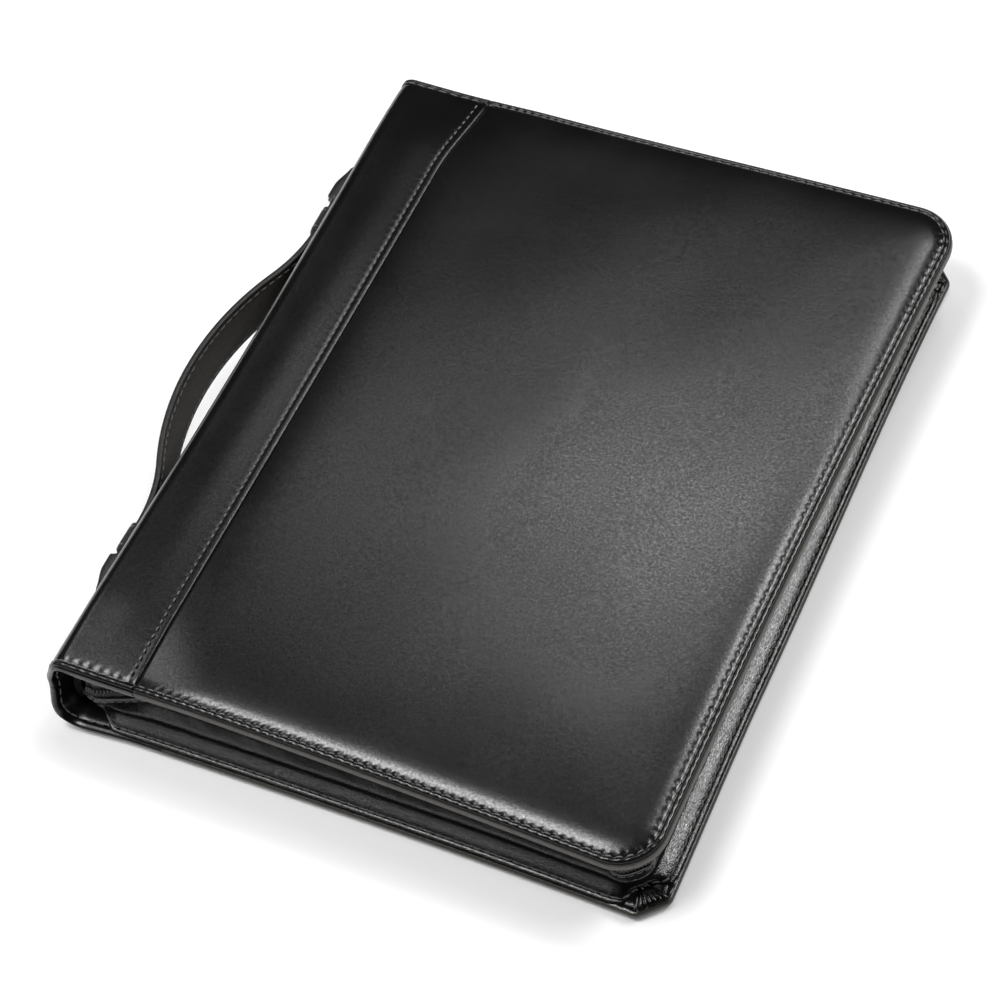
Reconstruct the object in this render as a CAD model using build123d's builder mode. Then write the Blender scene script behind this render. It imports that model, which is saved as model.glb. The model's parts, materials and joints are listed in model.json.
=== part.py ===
"""Zip-around portfolio case with a ring mechanism and a carrying handle that slides in and out.

Millimetres. The closed case lies flat on its back cover: X runs from the spine to the opening
edge, Y from the foot to the head, Z up through the thickness. The origin is the centre of the
back cover's underside.
"""
from build123d import *
import os
from math import asin, atan2, cos, degrees, radians, sin, sqrt

os.makedirs("parts", exist_ok=True)

# ---------------------------------------------------------------- driving dimensions
case_width = 273.0
case_length = 337.0
spine_height = 46.0
edge_height = 40.0

back_thickness = 5.0
front_thickness = 6.0
wall_thickness = 4.0
leather = 1.2
back_board_thickness = 2.4
front_foam_thickness = 1.3
front_board_thickness = 2.0
spine_board_thickness = 1.8
rolled_edge = 5.0

front_corner = 21.0
back_corner_cut = 12.0
back_corner_softening = 5.0
bottom_bend = 15.0
top_bend = 7.0
front_wing = 39.0
back_wing = 46.0

gusset_inset = 9.0
gusset_corner = 17.0
gusset_start = -122.0
gusset_curl = 7.0
chain_height = 28.0
chain_window = 7.0
tape_thickness = 0.6
tape_hidden = 5.0
tooth_width = 1.4
tooth_height = 1.0
tooth_gap = 0.8

slider_start = -104.0
slider_length = 11.0
slider_width = 6.4
slider_plate = 1.2

ring_x = -104.0
ring_spacing = 108.0
ring_wire = 3.0
ring_radius = 14.0
ring_gap = 0.3
plate_width = 30.0
plate_rise = 7.0
plate_sheet = 0.9
plate_length = 262.0
leaf_width = 9.25
leaf_thickness = 1.0
leaf_length = 244.0
leaf_drop = 2.0
rivet_y = 127.0
rivet_radius = 2.0
lever_reach = 17.0

strap_width = 28.0
strap_thickness = 3.0
strap_bottom = 6.6
strap_clearance = 0.4
strap_shift = 1.5
handle_rise = 19.6
half_span = 84.0
crown_radius = 120.0
grip_half_length = 20.0
stop_start = 100.5
stop_length = 20.0
stop_thickness = 6.0
keeper_centre = -7.5
keeper_reach = 90.0
keeper_length = 14.0
keeper_wall = 1.4

# ---------------------------------------------------------------- places worked out from them
spine_x = -case_width / 2
opening_x = case_width / 2
half_length = case_length / 2
tilt = atan2(spine_height - edge_height, case_width)
cover_plane = Plane(
    origin=(spine_x, 0, spine_height),
    x_dir=(cos(tilt), 0, -sin(tilt)),
    z_dir=(sin(tilt), 0, cos(tilt)),
)
cover_length = case_width / cos(tilt)
back_seam_x = spine_x + back_wing
inner_left = spine_x + bottom_bend
spine_inner_x = spine_x + wall_thickness


def finish(piece, name):
    """Names a finished piece and writes it."""
    piece.part.label = name
    export_step(piece.part, f"parts/{name}.step")


def panel(plane, left, right, inset, corner, cut=0.0):
    """A flat panel from left to right whose opening-side corners are rounded or cut off."""
    with BuildSketch(plane) as outline:
        with Locations(((left + right) / 2, 0)):
            Rectangle(right - left, case_length - 2 * inset)
        if cut:
            chamfer(outline.vertices().group_by(Axis.X)[-1], cut)
            fillet(outline.vertices().group_by(Axis.X)[-1], corner)
        elif corner:
            fillet(outline.vertices().group_by(Axis.X)[-1], corner)
    return outline.sketch


def gusset_band(plane, inset, thickness):
    """A U-shaped band along the foot, opening and head edges, open towards the spine."""
    width = case_width - 2 * inset
    length = case_length - 2 * inset
    corner = gusset_corner - (inset - gusset_inset)
    with BuildSketch(plane) as band:
        RectangleRounded(width, length, corner)
        RectangleRounded(
            width - 2 * thickness, length - 2 * thickness, corner - thickness, mode=Mode.SUBTRACT
        )
        with Locations((gusset_start - case_width / 2, 0)):
            Rectangle(case_width, case_length, mode=Mode.SUBTRACT)
    return band.sketch


# ---------------------------------------------------------------- back cover
with BuildPart() as back_leather:
    add(panel(Plane.XY, back_seam_x, opening_x, 0, back_corner_softening, back_corner_cut))
    extrude(amount=back_thickness)
    add(
        panel(
            Plane.XY.offset(leather), back_seam_x - 1, opening_x - rolled_edge,
            rolled_edge, back_corner_softening, back_corner_cut - rolled_edge / 2,
        )
    )
    extrude(amount=back_thickness, mode=Mode.SUBTRACT)
finish(back_leather, "back_leather")

lining_start = inner_left + 0.3
with BuildPart() as back_board:
    add(
        panel(
            Plane.XY.offset(leather), lining_start, opening_x - rolled_edge,
            rolled_edge, back_corner_softening, back_corner_cut - rolled_edge / 2,
        )
    )
    extrude(amount=back_board_thickness)
finish(back_board, "back_board")

back_lining_bottom = leather + back_board_thickness
with BuildPart() as back_lining:
    add(
        panel(
            Plane.XY.offset(back_lining_bottom), lining_start, opening_x - rolled_edge,
            rolled_edge, back_corner_softening, back_corner_cut - rolled_edge / 2,
        )
    )
    extrude(amount=back_thickness - back_lining_bottom)
finish(back_lining, "back_lining")

pad_pocket_width = 192.0
pad_pocket_length = 150.0
pad_pocket_centre = (19.0, -76.0)
with BuildPart() as pad_pocket:
    with BuildSketch(Plane.XY.offset(back_thickness)):
        with Locations(pad_pocket_centre):
            RectangleRounded(pad_pocket_width, pad_pocket_length, 6)
    extrude(amount=leather)
finish(pad_pocket, "pad_pocket")


# ---------------------------------------------------------------- spine leather in three stretches
bottom_centre = (spine_x + bottom_bend, bottom_bend)
top_centre = (spine_x + top_bend, spine_height - top_bend)
wall_low = bottom_bend
wall_high = spine_height - top_bend
half_bend = 45


def wall_bend(centre, radius, start_angle):
    """Draws half of a quarter-round stretch of the spine wall in the sketch being made."""
    with BuildLine() as bend:
        outer = CenterArc(centre, radius, start_angle, half_bend)
        inner = CenterArc(centre, radius - wall_thickness, start_angle, half_bend)
        Line(outer @ 0, inner @ 0)
        Line(outer @ 1, inner @ 1)
    make_face(bend.edges())


def block(left, right, low, high, mode=Mode.ADD):
    """Draws a rectangle between two X places and two Z places in the sketch being made."""
    with Locations(((left + right) / 2, (low + high) / 2)):
        Rectangle(right - left, high - low, mode=mode)


with BuildPart() as spine_leather_back:
    with BuildSketch(Plane.XZ):
        wall_bend(bottom_centre, bottom_bend, 225)
        block(inner_left, back_seam_x, 0, back_thickness)
    extrude(amount=half_length, both=True)
    with BuildSketch(Plane.XZ):
        block(inner_left, back_seam_x + 1, leather, back_thickness + 1)
    extrude(amount=half_length - rolled_edge, both=True, mode=Mode.SUBTRACT)
finish(spine_leather_back, "spine_leather_back")

with BuildPart() as spine_leather:
    with BuildSketch(Plane.XZ):
        wall_bend(bottom_centre, bottom_bend, 180)
        wall_bend(top_centre, top_bend, 135)
        block(spine_x, spine_inner_x, wall_low, wall_high)
    extrude(amount=half_length, both=True)
    with BuildSketch(Plane.XZ):
        block(spine_x + leather, spine_inner_x + 1, wall_low, wall_high)
    extrude(amount=half_length - rolled_edge, both=True, mode=Mode.SUBTRACT)
finish(spine_leather, "spine_leather")


def spine_layer(near_face, thickness):
    """A flat layer inside the spine's tray, from its near face inwards."""
    with BuildPart() as layer:
        with BuildSketch(Plane.XZ):
            block(spine_x + near_face, spine_x + near_face + thickness, wall_low, wall_high)
        extrude(amount=half_length - rolled_edge, both=True)
    return layer


spine_board = spine_layer(leather, spine_board_thickness)
finish(spine_board, "spine_board")

spine_lining_depth = leather + spine_board_thickness
spine_lining = spine_layer(spine_lining_depth, wall_thickness - spine_lining_depth)
finish(spine_lining, "spine_lining")

# The front wing's profile is drawn along the tilted cover, from the bend to the seam.
wing_drop = front_wing * sin(tilt)
wing_x = spine_x + front_wing * cos(tilt)
with BuildPart() as spine_leather_front:
    with BuildSketch(Plane.XZ):
        wall_bend(top_centre, top_bend, 90)
        with BuildLine():
            Polyline(
                (spine_x + top_bend, spine_height),
                (wing_x, spine_height - wing_drop),
                (wing_x - front_thickness * sin(tilt), spine_height - wing_drop - front_thickness),
                (spine_x + top_bend, spine_height - front_thickness),
                close=True,
            )
        make_face()
    extrude(amount=half_length, both=True)
    with BuildSketch(Plane.XZ):
        with BuildLine():
            Polyline(
                (spine_x + top_bend, spine_height - leather),
                (wing_x + 1, spine_height - leather - wing_drop),
                (wing_x + 1, spine_height - leather - wing_drop - front_thickness),
                (spine_x + top_bend, spine_height - leather - front_thickness),
                close=True,
            )
        make_face()
    extrude(amount=half_length - rolled_edge, both=True, mode=Mode.SUBTRACT)
finish(spine_leather_front, "spine_leather_front")

# ---------------------------------------------------------------- front cover
with BuildPart() as front_leather:
    add(panel(cover_plane, front_wing, cover_length, 0, front_corner))
    extrude(amount=-front_thickness)
    add(
        panel(
            cover_plane.offset(-leather), front_wing - 1, cover_length - rolled_edge,
            rolled_edge, front_corner - rolled_edge,
        )
    )
    extrude(amount=-front_thickness, mode=Mode.SUBTRACT)
finish(front_leather, "front_leather")


def front_layer(depth, thickness, left):
    """A flat layer inside the front cover's tray, at a depth below its top."""
    with BuildPart() as layer:
        add(
            panel(
                cover_plane.offset(-depth), left, cover_length - rolled_edge,
                rolled_edge, front_corner - rolled_edge,
            )
        )
        extrude(amount=-thickness)
    return layer


front_lining_depth = leather + front_foam_thickness + front_board_thickness
layer_left = top_bend + 2.0
front_foam = front_layer(leather, front_foam_thickness, layer_left)
finish(front_foam, "front_foam")
front_board = front_layer(leather + front_foam_thickness, front_board_thickness, layer_left)
finish(front_board, "front_board")
front_lining = front_layer(front_lining_depth, front_thickness - front_lining_depth, layer_left)
finish(front_lining, "front_lining")


def cover_pocket(depth, centre, width, length, corner, thickness):
    """A flat pocket on the front cover's lining, at a depth below the cover's top."""
    with BuildPart() as pocket:
        with BuildSketch(cover_plane.offset(-depth)):
            with Locations(centre):
                RectangleRounded(width, length, corner)
        extrude(amount=-thickness)
    return pocket


file_pocket = cover_pocket(front_thickness, (158.0, -56.0), 196.0, 190.0, 6, leather)
finish(file_pocket, "file_pocket")

card_layer = 0.9
card_step = 17.0
card_width = 94.0
card_length = 58.0
for index in range(3):
    card_pocket = cover_pocket(
        front_thickness + index * card_layer,
        (206.0, 117.0 - index * card_step), card_width, card_length, 3, card_layer,
    )
    finish(card_pocket, f"card_pocket_{index + 1}")

id_window = cover_pocket(front_thickness, (107.0, 100.0), 88.0, 62.0, 4, leather)
finish(id_window, "id_window")

pen_loop_width = 11.0
pen_loop_wall = 1.1
pen_loop_length = 55.0
pen_loop_centre = (52.0, 54.0)
pen_loop_depth = front_thickness + pen_loop_width / 2
with BuildPart() as pen_loop:
    loop_middle = cover_plane.from_local_coords((*pen_loop_centre, -pen_loop_depth))
    loop_plane = Plane(origin=loop_middle, x_dir=cover_plane.x_dir, z_dir=(0, 1, 0))
    with BuildSketch(loop_plane):
        RectangleRounded(pen_loop_width, pen_loop_width, 3.4)
        inside = pen_loop_width - 2 * pen_loop_wall
        RectangleRounded(inside, inside, 2.3, mode=Mode.SUBTRACT)
    extrude(amount=pen_loop_length / 2, both=True)
finish(pen_loop, "pen_loop")

# ---------------------------------------------------------------- gusset and zip
lower_edge = chain_height - chain_window / 2
upper_edge = chain_height + chain_window / 2
under_cover = cover_plane.offset(-front_thickness)

with BuildPart() as lower_gusset:
    add(gusset_band(Plane.XY.offset(back_thickness), gusset_inset, leather))
    extrude(amount=lower_edge - back_thickness)
finish(lower_gusset, "lower_gusset")

with BuildPart() as upper_gusset:
    add(gusset_band(Plane.XY.offset(upper_edge), gusset_inset, leather))
    extrude(amount=spine_height - upper_edge)
    split(bisect_by=under_cover, keep=Keep.BOTTOM)
finish(upper_gusset, "upper_gusset")

tape_inset = gusset_inset + leather
lower_tape_top = chain_height - tooth_gap / 2 - tooth_height / 2
upper_tape_bottom = chain_height + tooth_gap / 2 + tooth_height / 2
with BuildPart() as zip_tape_lower:
    add(gusset_band(Plane.XY.offset(lower_edge - tape_hidden), tape_inset, tape_thickness))
    extrude(amount=lower_tape_top - lower_edge + tape_hidden)
finish(zip_tape_lower, "zip_tape_lower")

with BuildPart() as zip_tape_upper:
    add(gusset_band(Plane.XY.offset(upper_tape_bottom), tape_inset, tape_thickness))
    extrude(amount=spine_height - upper_tape_bottom)
    split(bisect_by=under_cover, keep=Keep.BOTTOM)
finish(zip_tape_upper, "zip_tape_upper")

teeth_inset = tape_inset - tooth_width
with BuildPart() as zip_teeth_lower:
    add(
        gusset_band(
            Plane.XY.offset(chain_height - tooth_gap / 2 - tooth_height), teeth_inset, tooth_width
        )
    )
    extrude(amount=tooth_height)
finish(zip_teeth_lower, "zip_teeth_lower")

with BuildPart() as zip_teeth_upper:
    add(gusset_band(Plane.XY.offset(chain_height + tooth_gap / 2), teeth_inset, tooth_width))
    extrude(amount=tooth_height)
finish(zip_teeth_upper, "zip_teeth_upper")

# Each end of the lower gusset curls inwards in front of the spine.
curl_bottom = 10.0
for name, side in (("foot", -1), ("head", 1)):
    curl_centre_y = side * (half_length - gusset_inset - gusset_curl)
    with BuildPart() as gusset_end:
        with BuildSketch(Plane.XY.offset(curl_bottom)):
            with BuildLine():
                start_angle = 90 if side > 0 else 180
                outer = CenterArc((gusset_start, curl_centre_y), gusset_curl, start_angle, 90)
                inner = CenterArc(
                    (gusset_start, curl_centre_y), gusset_curl - leather, start_angle, 90
                )
                Line(outer @ 0, inner @ 0)
                Line(outer @ 1, inner @ 1)
            make_face()
        extrude(amount=lower_edge - curl_bottom)
    finish(gusset_end, f"gusset_end_{name}")

# ---------------------------------------------------------------- zip slider and pull
teeth_outer_y = half_length - teeth_inset
teeth_inner_y = teeth_outer_y - tooth_width
slider_clearance = 0.35
outer_plate_y = teeth_outer_y + slider_clearance
inner_plate_y = half_length - tape_inset - tape_thickness - slider_clearance - slider_plate
web_length = 4.0
web_thickness = 0.5
bridge_top = 2.4
bridge_bar = 0.8
bridge_half = 3.6
with BuildPart() as zip_slider:
    with BuildSketch(Plane.XY.offset(chain_height)):
        for plate_y in (outer_plate_y, inner_plate_y):
            with Locations((slider_start, plate_y + slider_plate / 2)):
                Rectangle(slider_length, slider_plate)
    extrude(amount=slider_width / 2, both=True)
    with BuildSketch(Plane.XY.offset(chain_height)):
        web_span = outer_plate_y - inner_plate_y
        web_x = slider_start - slider_length / 2 + web_length / 2
        with Locations((web_x, inner_plate_y + web_span / 2)):
            Rectangle(web_length, web_span)
    extrude(amount=web_thickness / 2, both=True)
    with BuildSketch(Plane.XY.offset(chain_height)):
        with Locations((slider_start, outer_plate_y + slider_plate + bridge_top / 2)):
            Rectangle(2 * bridge_half, bridge_top)
        with Locations((slider_start, outer_plate_y + slider_plate + (bridge_top - bridge_bar) / 2)):
            Rectangle(2 * bridge_half - 2, bridge_top - bridge_bar, mode=Mode.SUBTRACT)
    extrude(amount=0.9, both=True)
finish(zip_slider, "zip_slider")

pull_axis_y = outer_plate_y + slider_plate + (bridge_top - bridge_bar) / 2
pull_length = 27.0
pull_width = 7.4
pull_thickness = 1.0
pull_eye_length = 7.0
with BuildPart() as zip_pull:
    with BuildSketch(Plane.XZ.offset(-pull_axis_y)):
        with Locations((slider_start + pull_length / 2 - pull_thickness / 2, chain_height)):
            RectangleRounded(pull_length, pull_width, 0.9)
        with Locations(
            (slider_start + pull_thickness / 2 + pull_eye_length / 2, chain_height)
        ):
            Rectangle(pull_eye_length, pull_width - 2.4, mode=Mode.SUBTRACT)
        with Locations((slider_start + pull_length - 5, chain_height)):
            Circle(1.4, mode=Mode.SUBTRACT)
    extrude(amount=pull_thickness / 2, both=True)
finish(zip_pull, "zip_pull")

# ---------------------------------------------------------------- ring mechanism
ring_centre_z = back_thickness + ring_wire / 2 + ring_radius
leaf_bottom = back_thickness + leaf_drop
leaf_pivot_z = leaf_bottom + leaf_thickness / 2
plate_top = back_thickness + plate_rise
slot_start = 4.4
slot_end = 13.6
slot_width = 4.4
with BuildPart() as ring_cover_plate:
    with BuildSketch(Plane.XZ):
        with BuildLine():
            half_plate = plate_width / 2
            outer = ThreePointArc(
                (ring_x - half_plate, back_thickness),
                (ring_x, plate_top),
                (ring_x + half_plate, back_thickness),
            )
            inner = ThreePointArc(
                (ring_x - half_plate + plate_sheet, back_thickness),
                (ring_x, plate_top - plate_sheet),
                (ring_x + half_plate - plate_sheet, back_thickness),
            )
            Line(outer @ 0, inner @ 0)
            Line(outer @ 1, inner @ 1)
        make_face()
    extrude(amount=plate_length / 2, both=True)
    with BuildSketch(Plane.XY.offset(back_thickness)):
        for side in (-1, 1):
            with Locations((ring_x + side * (slot_start + slot_end) / 2, 0)):
                with GridLocations(0, ring_spacing, 1, 3):
                    Rectangle(slot_end - slot_start, slot_width)
        with Locations((ring_x, 0)):
            with GridLocations(0, 2 * rivet_y, 1, 2):
                Circle(rivet_radius)
    extrude(amount=plate_rise + 1, mode=Mode.SUBTRACT)
finish(ring_cover_plate, "ring_cover_plate")

rivet_head_radius = 4.0
rivet_head_height = 1.3
with BuildPart() as ring_rivets:
    with BuildSketch(Plane.XY.offset(back_thickness)):
        with Locations((ring_x, -rivet_y), (ring_x, rivet_y)):
            Circle(rivet_radius)
    extrude(amount=plate_rise)
    with BuildSketch(Plane.XY.offset(plate_top)):
        with Locations((ring_x, -rivet_y), (ring_x, rivet_y)):
            Circle(rivet_head_radius)
    extrude(amount=rivet_head_height, taper=30)
finish(ring_rivets, "ring_rivets")

ring_low_angle = -degrees(asin((ring_centre_z - leaf_pivot_z) / ring_radius))
ring_trim_angle = degrees(ring_gap / 2 / ring_radius)
for name, side in (("left", -1), ("right", 1)):
    with BuildPart() as ring_leaf:
        with BuildSketch(Plane.XY.offset(leaf_bottom)):
            with Locations((ring_x + side * (ring_gap / 2 + leaf_width / 2), 0)):
                Rectangle(leaf_width, leaf_length)
        extrude(amount=leaf_thickness)
    finish(ring_leaf, f"ring_leaf_{name}")

    sweep_angle = 90 - ring_trim_angle - ring_low_angle
    first_angle = ring_low_angle if side > 0 else 180 - ring_low_angle - sweep_angle
    last_angle = first_angle + sweep_angle
    with BuildPart() as half_rings:
        for ring_y in (-ring_spacing, 0, ring_spacing):
            ring_face = Plane.XZ.offset(-ring_y)
            with BuildLine(ring_face) as ring_line:
                CenterArc((ring_x, ring_centre_z), ring_radius, first_angle, sweep_angle)
            start_plane = Plane(
                origin=ring_line.line @ 0, x_dir=(0, 1, 0), z_dir=ring_line.line % 0
            )
            with BuildSketch(start_plane):
                Circle(ring_wire / 2)
            sweep(path=ring_line.line)
    finish(half_rings, f"half_rings_{name}")

lever_width = 20.0
lever_sheet = 1.4
lever_rise = 9.0
lever_start = plate_length / 2 + 1.0
lever_bottom = back_thickness + 2.6
for name, side in (("foot", -1), ("head", 1)):
    with BuildPart() as ring_lever:
        with BuildSketch(Plane.YZ.offset(ring_x)):
            with BuildLine():
                Polyline(
                    (side * lever_start, lever_bottom),
                    (side * (lever_start + 5), lever_bottom),
                    (side * (lever_start + lever_reach), lever_bottom + lever_rise),
                    (side * (lever_start + lever_reach - 1), lever_bottom + lever_rise + lever_sheet),
                    (side * (lever_start + 4.5), lever_bottom + lever_sheet),
                    (side * lever_start, lever_bottom + lever_sheet),
                    close=True,
                )
            make_face()
        extrude(amount=lever_width / 2, both=True)
    finish(ring_lever, f"ring_lever_{name}")

# ---------------------------------------------------------------- handle
strap_middle = strap_bottom + strap_width / 2
strap_line_x = spine_x - strap_clearance - strap_thickness / 2
strap_centre = keeper_centre + strap_shift
radius_sum = (half_span**2 + handle_rise**2) / (2 * handle_rise)
foot_radius = radius_sum - crown_radius
swing = asin(half_span / radius_sum)
crown_x = strap_line_x - handle_rise
bend_reach = crown_radius * sin(swing)


def crown_point(reach):
    """The point of the strap's crown at a distance along the spine from its middle."""
    return (crown_x + crown_radius - sqrt(crown_radius**2 - reach**2), strap_centre + reach)


def strap_sweep(path):
    """The strap's flat section carried along a path."""
    section_plane = Plane(origin=path @ 0, x_dir=(0, 0, 1), z_dir=path % 0)
    with BuildPart() as strap:
        with BuildSketch(section_plane):
            Rectangle(strap_width, strap_thickness)
        sweep(path=path)
    return strap


strap_plane = Plane.XY.offset(strap_middle)
with BuildLine(strap_plane) as grip_line:
    ThreePointArc(
        crown_point(-grip_half_length), crown_point(0), crown_point(grip_half_length)
    )
handle_grip = strap_sweep(grip_line.line)
finish(handle_grip, "handle_grip")

for name, side in (("foot", -1), ("head", 1)):
    bend_point = crown_point(side * bend_reach)
    leg_end = (strap_line_x, strap_centre + side * half_span)
    half_way = crown_point(side * (grip_half_length + bend_reach) / 2)
    with BuildLine(strap_plane) as leg_line:
        crown_part = ThreePointArc(crown_point(side * grip_half_length), half_way, bend_point)
        TangentArc(bend_point, leg_end, tangent=crown_part % 1)
    handle_leg = strap_sweep(leg_line.line)
    finish(handle_leg, f"handle_leg_{name}")

    with BuildPart() as strap_end:
        with BuildSketch(Plane.XY.offset(strap_bottom)):
            straight = stop_start - half_span
            with Locations((strap_line_x, strap_centre + side * (half_span + straight / 2))):
                Rectangle(strap_thickness, straight)
        extrude(amount=strap_width)
    finish(strap_end, f"strap_end_{name}")

    near_x = spine_x - strap_clearance
    stop_near = strap_centre + side * stop_start
    stop_far = strap_centre + side * (stop_start + stop_length)
    with BuildPart() as strap_stop:
        with BuildSketch(Plane.XY.offset(strap_bottom)):
            with BuildLine():
                Polyline(
                    (near_x, stop_near),
                    (near_x - stop_thickness, stop_near),
                    (near_x - stop_thickness, stop_near + side * 8),
                    (near_x - strap_thickness, stop_far),
                    (near_x, stop_far),
                    close=True,
                )
            make_face()
        extrude(amount=strap_width)
    finish(strap_stop, f"strap_stop_{name}")

    keeper_depth = 2 * strap_clearance + strap_thickness + 0.2
    slot_low = strap_bottom - 0.4
    slot_high = strap_bottom + strap_width + 0.4
    keeper_right = spine_x + bottom_bend
    with BuildPart() as strap_keeper:
        keeper_plane = Plane.XZ.offset(-(keeper_centre + side * keeper_reach))
        with BuildSketch(keeper_plane):
            keeper_left = spine_x - keeper_depth - keeper_wall
            with Locations(((keeper_left + keeper_right) / 2, (slot_low + slot_high) / 2)):
                Rectangle(keeper_right - keeper_left, slot_high - slot_low + 2 * keeper_wall)
            slot_left = spine_x - keeper_depth
            with Locations(((slot_left + keeper_right) / 2, (slot_low + slot_high) / 2)):
                Rectangle(keeper_right - slot_left, slot_high - slot_low, mode=Mode.SUBTRACT)
            with Locations((spine_x + bottom_bend, (bottom_bend + spine_height) / 2)):
                Rectangle(2 * bottom_bend, spine_height - bottom_bend, mode=Mode.SUBTRACT)
            with Locations(bottom_centre):
                Circle(bottom_bend, mode=Mode.SUBTRACT)
        extrude(amount=keeper_length / 2, both=True)
    finish(strap_keeper, f"strap_keeper_{name}")
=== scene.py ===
"""Looks of the portfolio case: leather, stitching, zip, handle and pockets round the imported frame.

Geometry is worked out in millimetres and turned into metres where a mesh is made.
"""

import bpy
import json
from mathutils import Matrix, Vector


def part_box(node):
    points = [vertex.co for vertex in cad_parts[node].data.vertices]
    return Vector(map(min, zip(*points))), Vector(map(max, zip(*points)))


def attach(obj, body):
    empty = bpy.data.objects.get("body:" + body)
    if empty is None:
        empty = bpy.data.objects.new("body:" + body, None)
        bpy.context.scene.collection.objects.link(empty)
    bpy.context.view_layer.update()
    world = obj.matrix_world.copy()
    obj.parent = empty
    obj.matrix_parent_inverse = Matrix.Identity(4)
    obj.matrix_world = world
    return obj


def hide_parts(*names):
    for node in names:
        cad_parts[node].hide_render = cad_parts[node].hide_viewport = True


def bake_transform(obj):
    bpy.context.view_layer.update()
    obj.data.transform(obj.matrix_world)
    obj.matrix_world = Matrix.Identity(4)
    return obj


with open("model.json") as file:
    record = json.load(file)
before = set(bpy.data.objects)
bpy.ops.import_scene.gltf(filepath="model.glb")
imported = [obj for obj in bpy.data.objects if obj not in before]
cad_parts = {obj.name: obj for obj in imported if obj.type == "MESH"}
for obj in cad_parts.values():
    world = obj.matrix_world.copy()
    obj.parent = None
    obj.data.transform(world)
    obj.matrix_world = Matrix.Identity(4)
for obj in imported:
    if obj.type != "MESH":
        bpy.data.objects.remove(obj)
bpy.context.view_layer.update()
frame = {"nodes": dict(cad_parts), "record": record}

import json
import math

import bpy
import numpy as np
from mathutils import Matrix, Vector

MM = 0.001
TWO_PI = 2 * math.pi


def box_mm(node):
    """Lowest and highest corner of a CAD node, in millimetres."""
    low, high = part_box(node)
    return np.array(low) / MM, np.array(high) / MM


# ------------------------------------------------------------------ sizes read from the frame
spine_low, spine_high = box_mm("spine_leather")
_, wing_high = box_mm("spine_leather_front")
_, panel_high = box_mm("front_leather")
back_low, back_high = box_mm("back_leather")
SPINE_X = spine_low[0]
HALF = spine_high[1]
TOP = wing_high[2]
OPEN_X = panel_high[0]
BACK_T = back_high[2]
BACK_SEAM = back_low[0]
CASE_W = OPEN_X - SPINE_X
# The covers' thicknesses, the spine's two bends and the height at the opening edge, as in the CAD.
FRONT_T = 6.0
WALL_T = 4.0
TOP_BEND = 7.0
BOTTOM_BEND = 15.0
EDGE_TOP = 40.0
TILT = math.atan2(TOP - EDGE_TOP, CASE_W)
SEAM_U = 39.0
CHAIN_Z = float(box_mm("zip_teeth_lower")[1][2] + box_mm("zip_teeth_upper")[0][2]) / 2

# The stitches' inset and pitch, the inner margin of the turned-in leather, and the outlines' spacing.
STITCH_INSET = 3.6
STITCH_PITCH = 4.35
SEAM_PITCH = 3.7
TRAY = 5.05
FRONT_CORNER = 21.0
SAMPLE = 0.52

rng = np.random.default_rng(7)


# ------------------------------------------------------------------ small helpers
def smooth(low, high, value):
    """0 below low, 1 above high, and a smooth step between."""
    t = np.clip((np.asarray(value, float) - low) / (high - low), 0, 1)
    return t * t * (3 - 2 * t)


def hump(centre, width, value):
    """A bell of height 1 about centre."""
    return np.exp(-(((np.asarray(value, float) - centre) / width) ** 2))


def unit(vectors):
    """Vectors made one long."""
    vectors = np.asarray(vectors, float)
    return vectors / np.maximum(np.linalg.norm(vectors, axis=-1, keepdims=True), 1e-9)


def waves(x, y, length, seed):
    """Slow smooth unevenness between about -1 and 1, from a few crossed waves."""
    draw = np.random.default_rng(seed)
    total = np.zeros(np.broadcast(x, y).shape)
    count = 6
    for _ in range(count):
        angle, phase = draw.uniform(0, TWO_PI, 2)
        size = length * draw.uniform(0.7, 1.6)
        total += np.sin(TWO_PI * (x * math.cos(angle) + y * math.sin(angle)) / size + phase)
    return total / count * 1.6


def cover_points(u, v, w):
    """Row-frame points on the tilted front cover: u from the spine, v along Y, w above its top."""
    u, v, w = np.broadcast_arrays(u, v, w)
    x = SPINE_X + u * math.cos(TILT) + w * math.sin(TILT)
    z = TOP - u * math.sin(TILT) + w * math.cos(TILT)
    return np.stack([x, v, z], -1)


def settle(points):
    """How the worn case has taken its own shape: edges pulled in between the corners, the head edge
    leaning in towards the spine, and the back cover standing out along the foot."""
    points = np.array(points, float)
    x, y, z = points[..., 0].copy(), points[..., 1].copy(), points[..., 2]
    u = x - SPINE_X
    across, along = np.clip(x / OPEN_X, -1, 1), np.clip(y / HALF, -1, 1)
    high, low = smooth(24, 36, z), 1 - smooth(8, 26, z)
    at_spine = 1 - smooth(0, 273, u)
    points[..., 1] -= np.sign(y) * 1.5 * (1 - across**2) * smooth(HALF - 50, HALF, np.abs(y))
    points[..., 0] -= 2.2 * (1 - along**2) * smooth(OPEN_X - 50, OPEN_X, x)
    points[..., 1] -= high * 3.8 * (1 - smooth(20, 250, u)) * smooth(90, HALF, y)
    points[..., 0] += high * 2.6 * (1 - along**2) * (1 - smooth(0, 60, u))
    seam = smooth(6, 38, u) * (1 - smooth(44, 130, u))
    points[..., 0] += high * (2.9 + 4.6 * smooth(118, HALF, y)) * seam
    points[..., 2] -= high * 1.9 * smooth(HALF - 42, HALF + 8, np.abs(y)) * (1 - smooth(22, 70, u))
    points[..., 1] -= low * (2.0 + 2.8 * at_spine) * smooth(80, HALF, -y)
    points[..., 0] += low * smooth(30, OPEN_X, x) * (
        1.5 * smooth(60, HALF, -y) - 5.2 * smooth(-60, HALF, y)
    )
    return points


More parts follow.
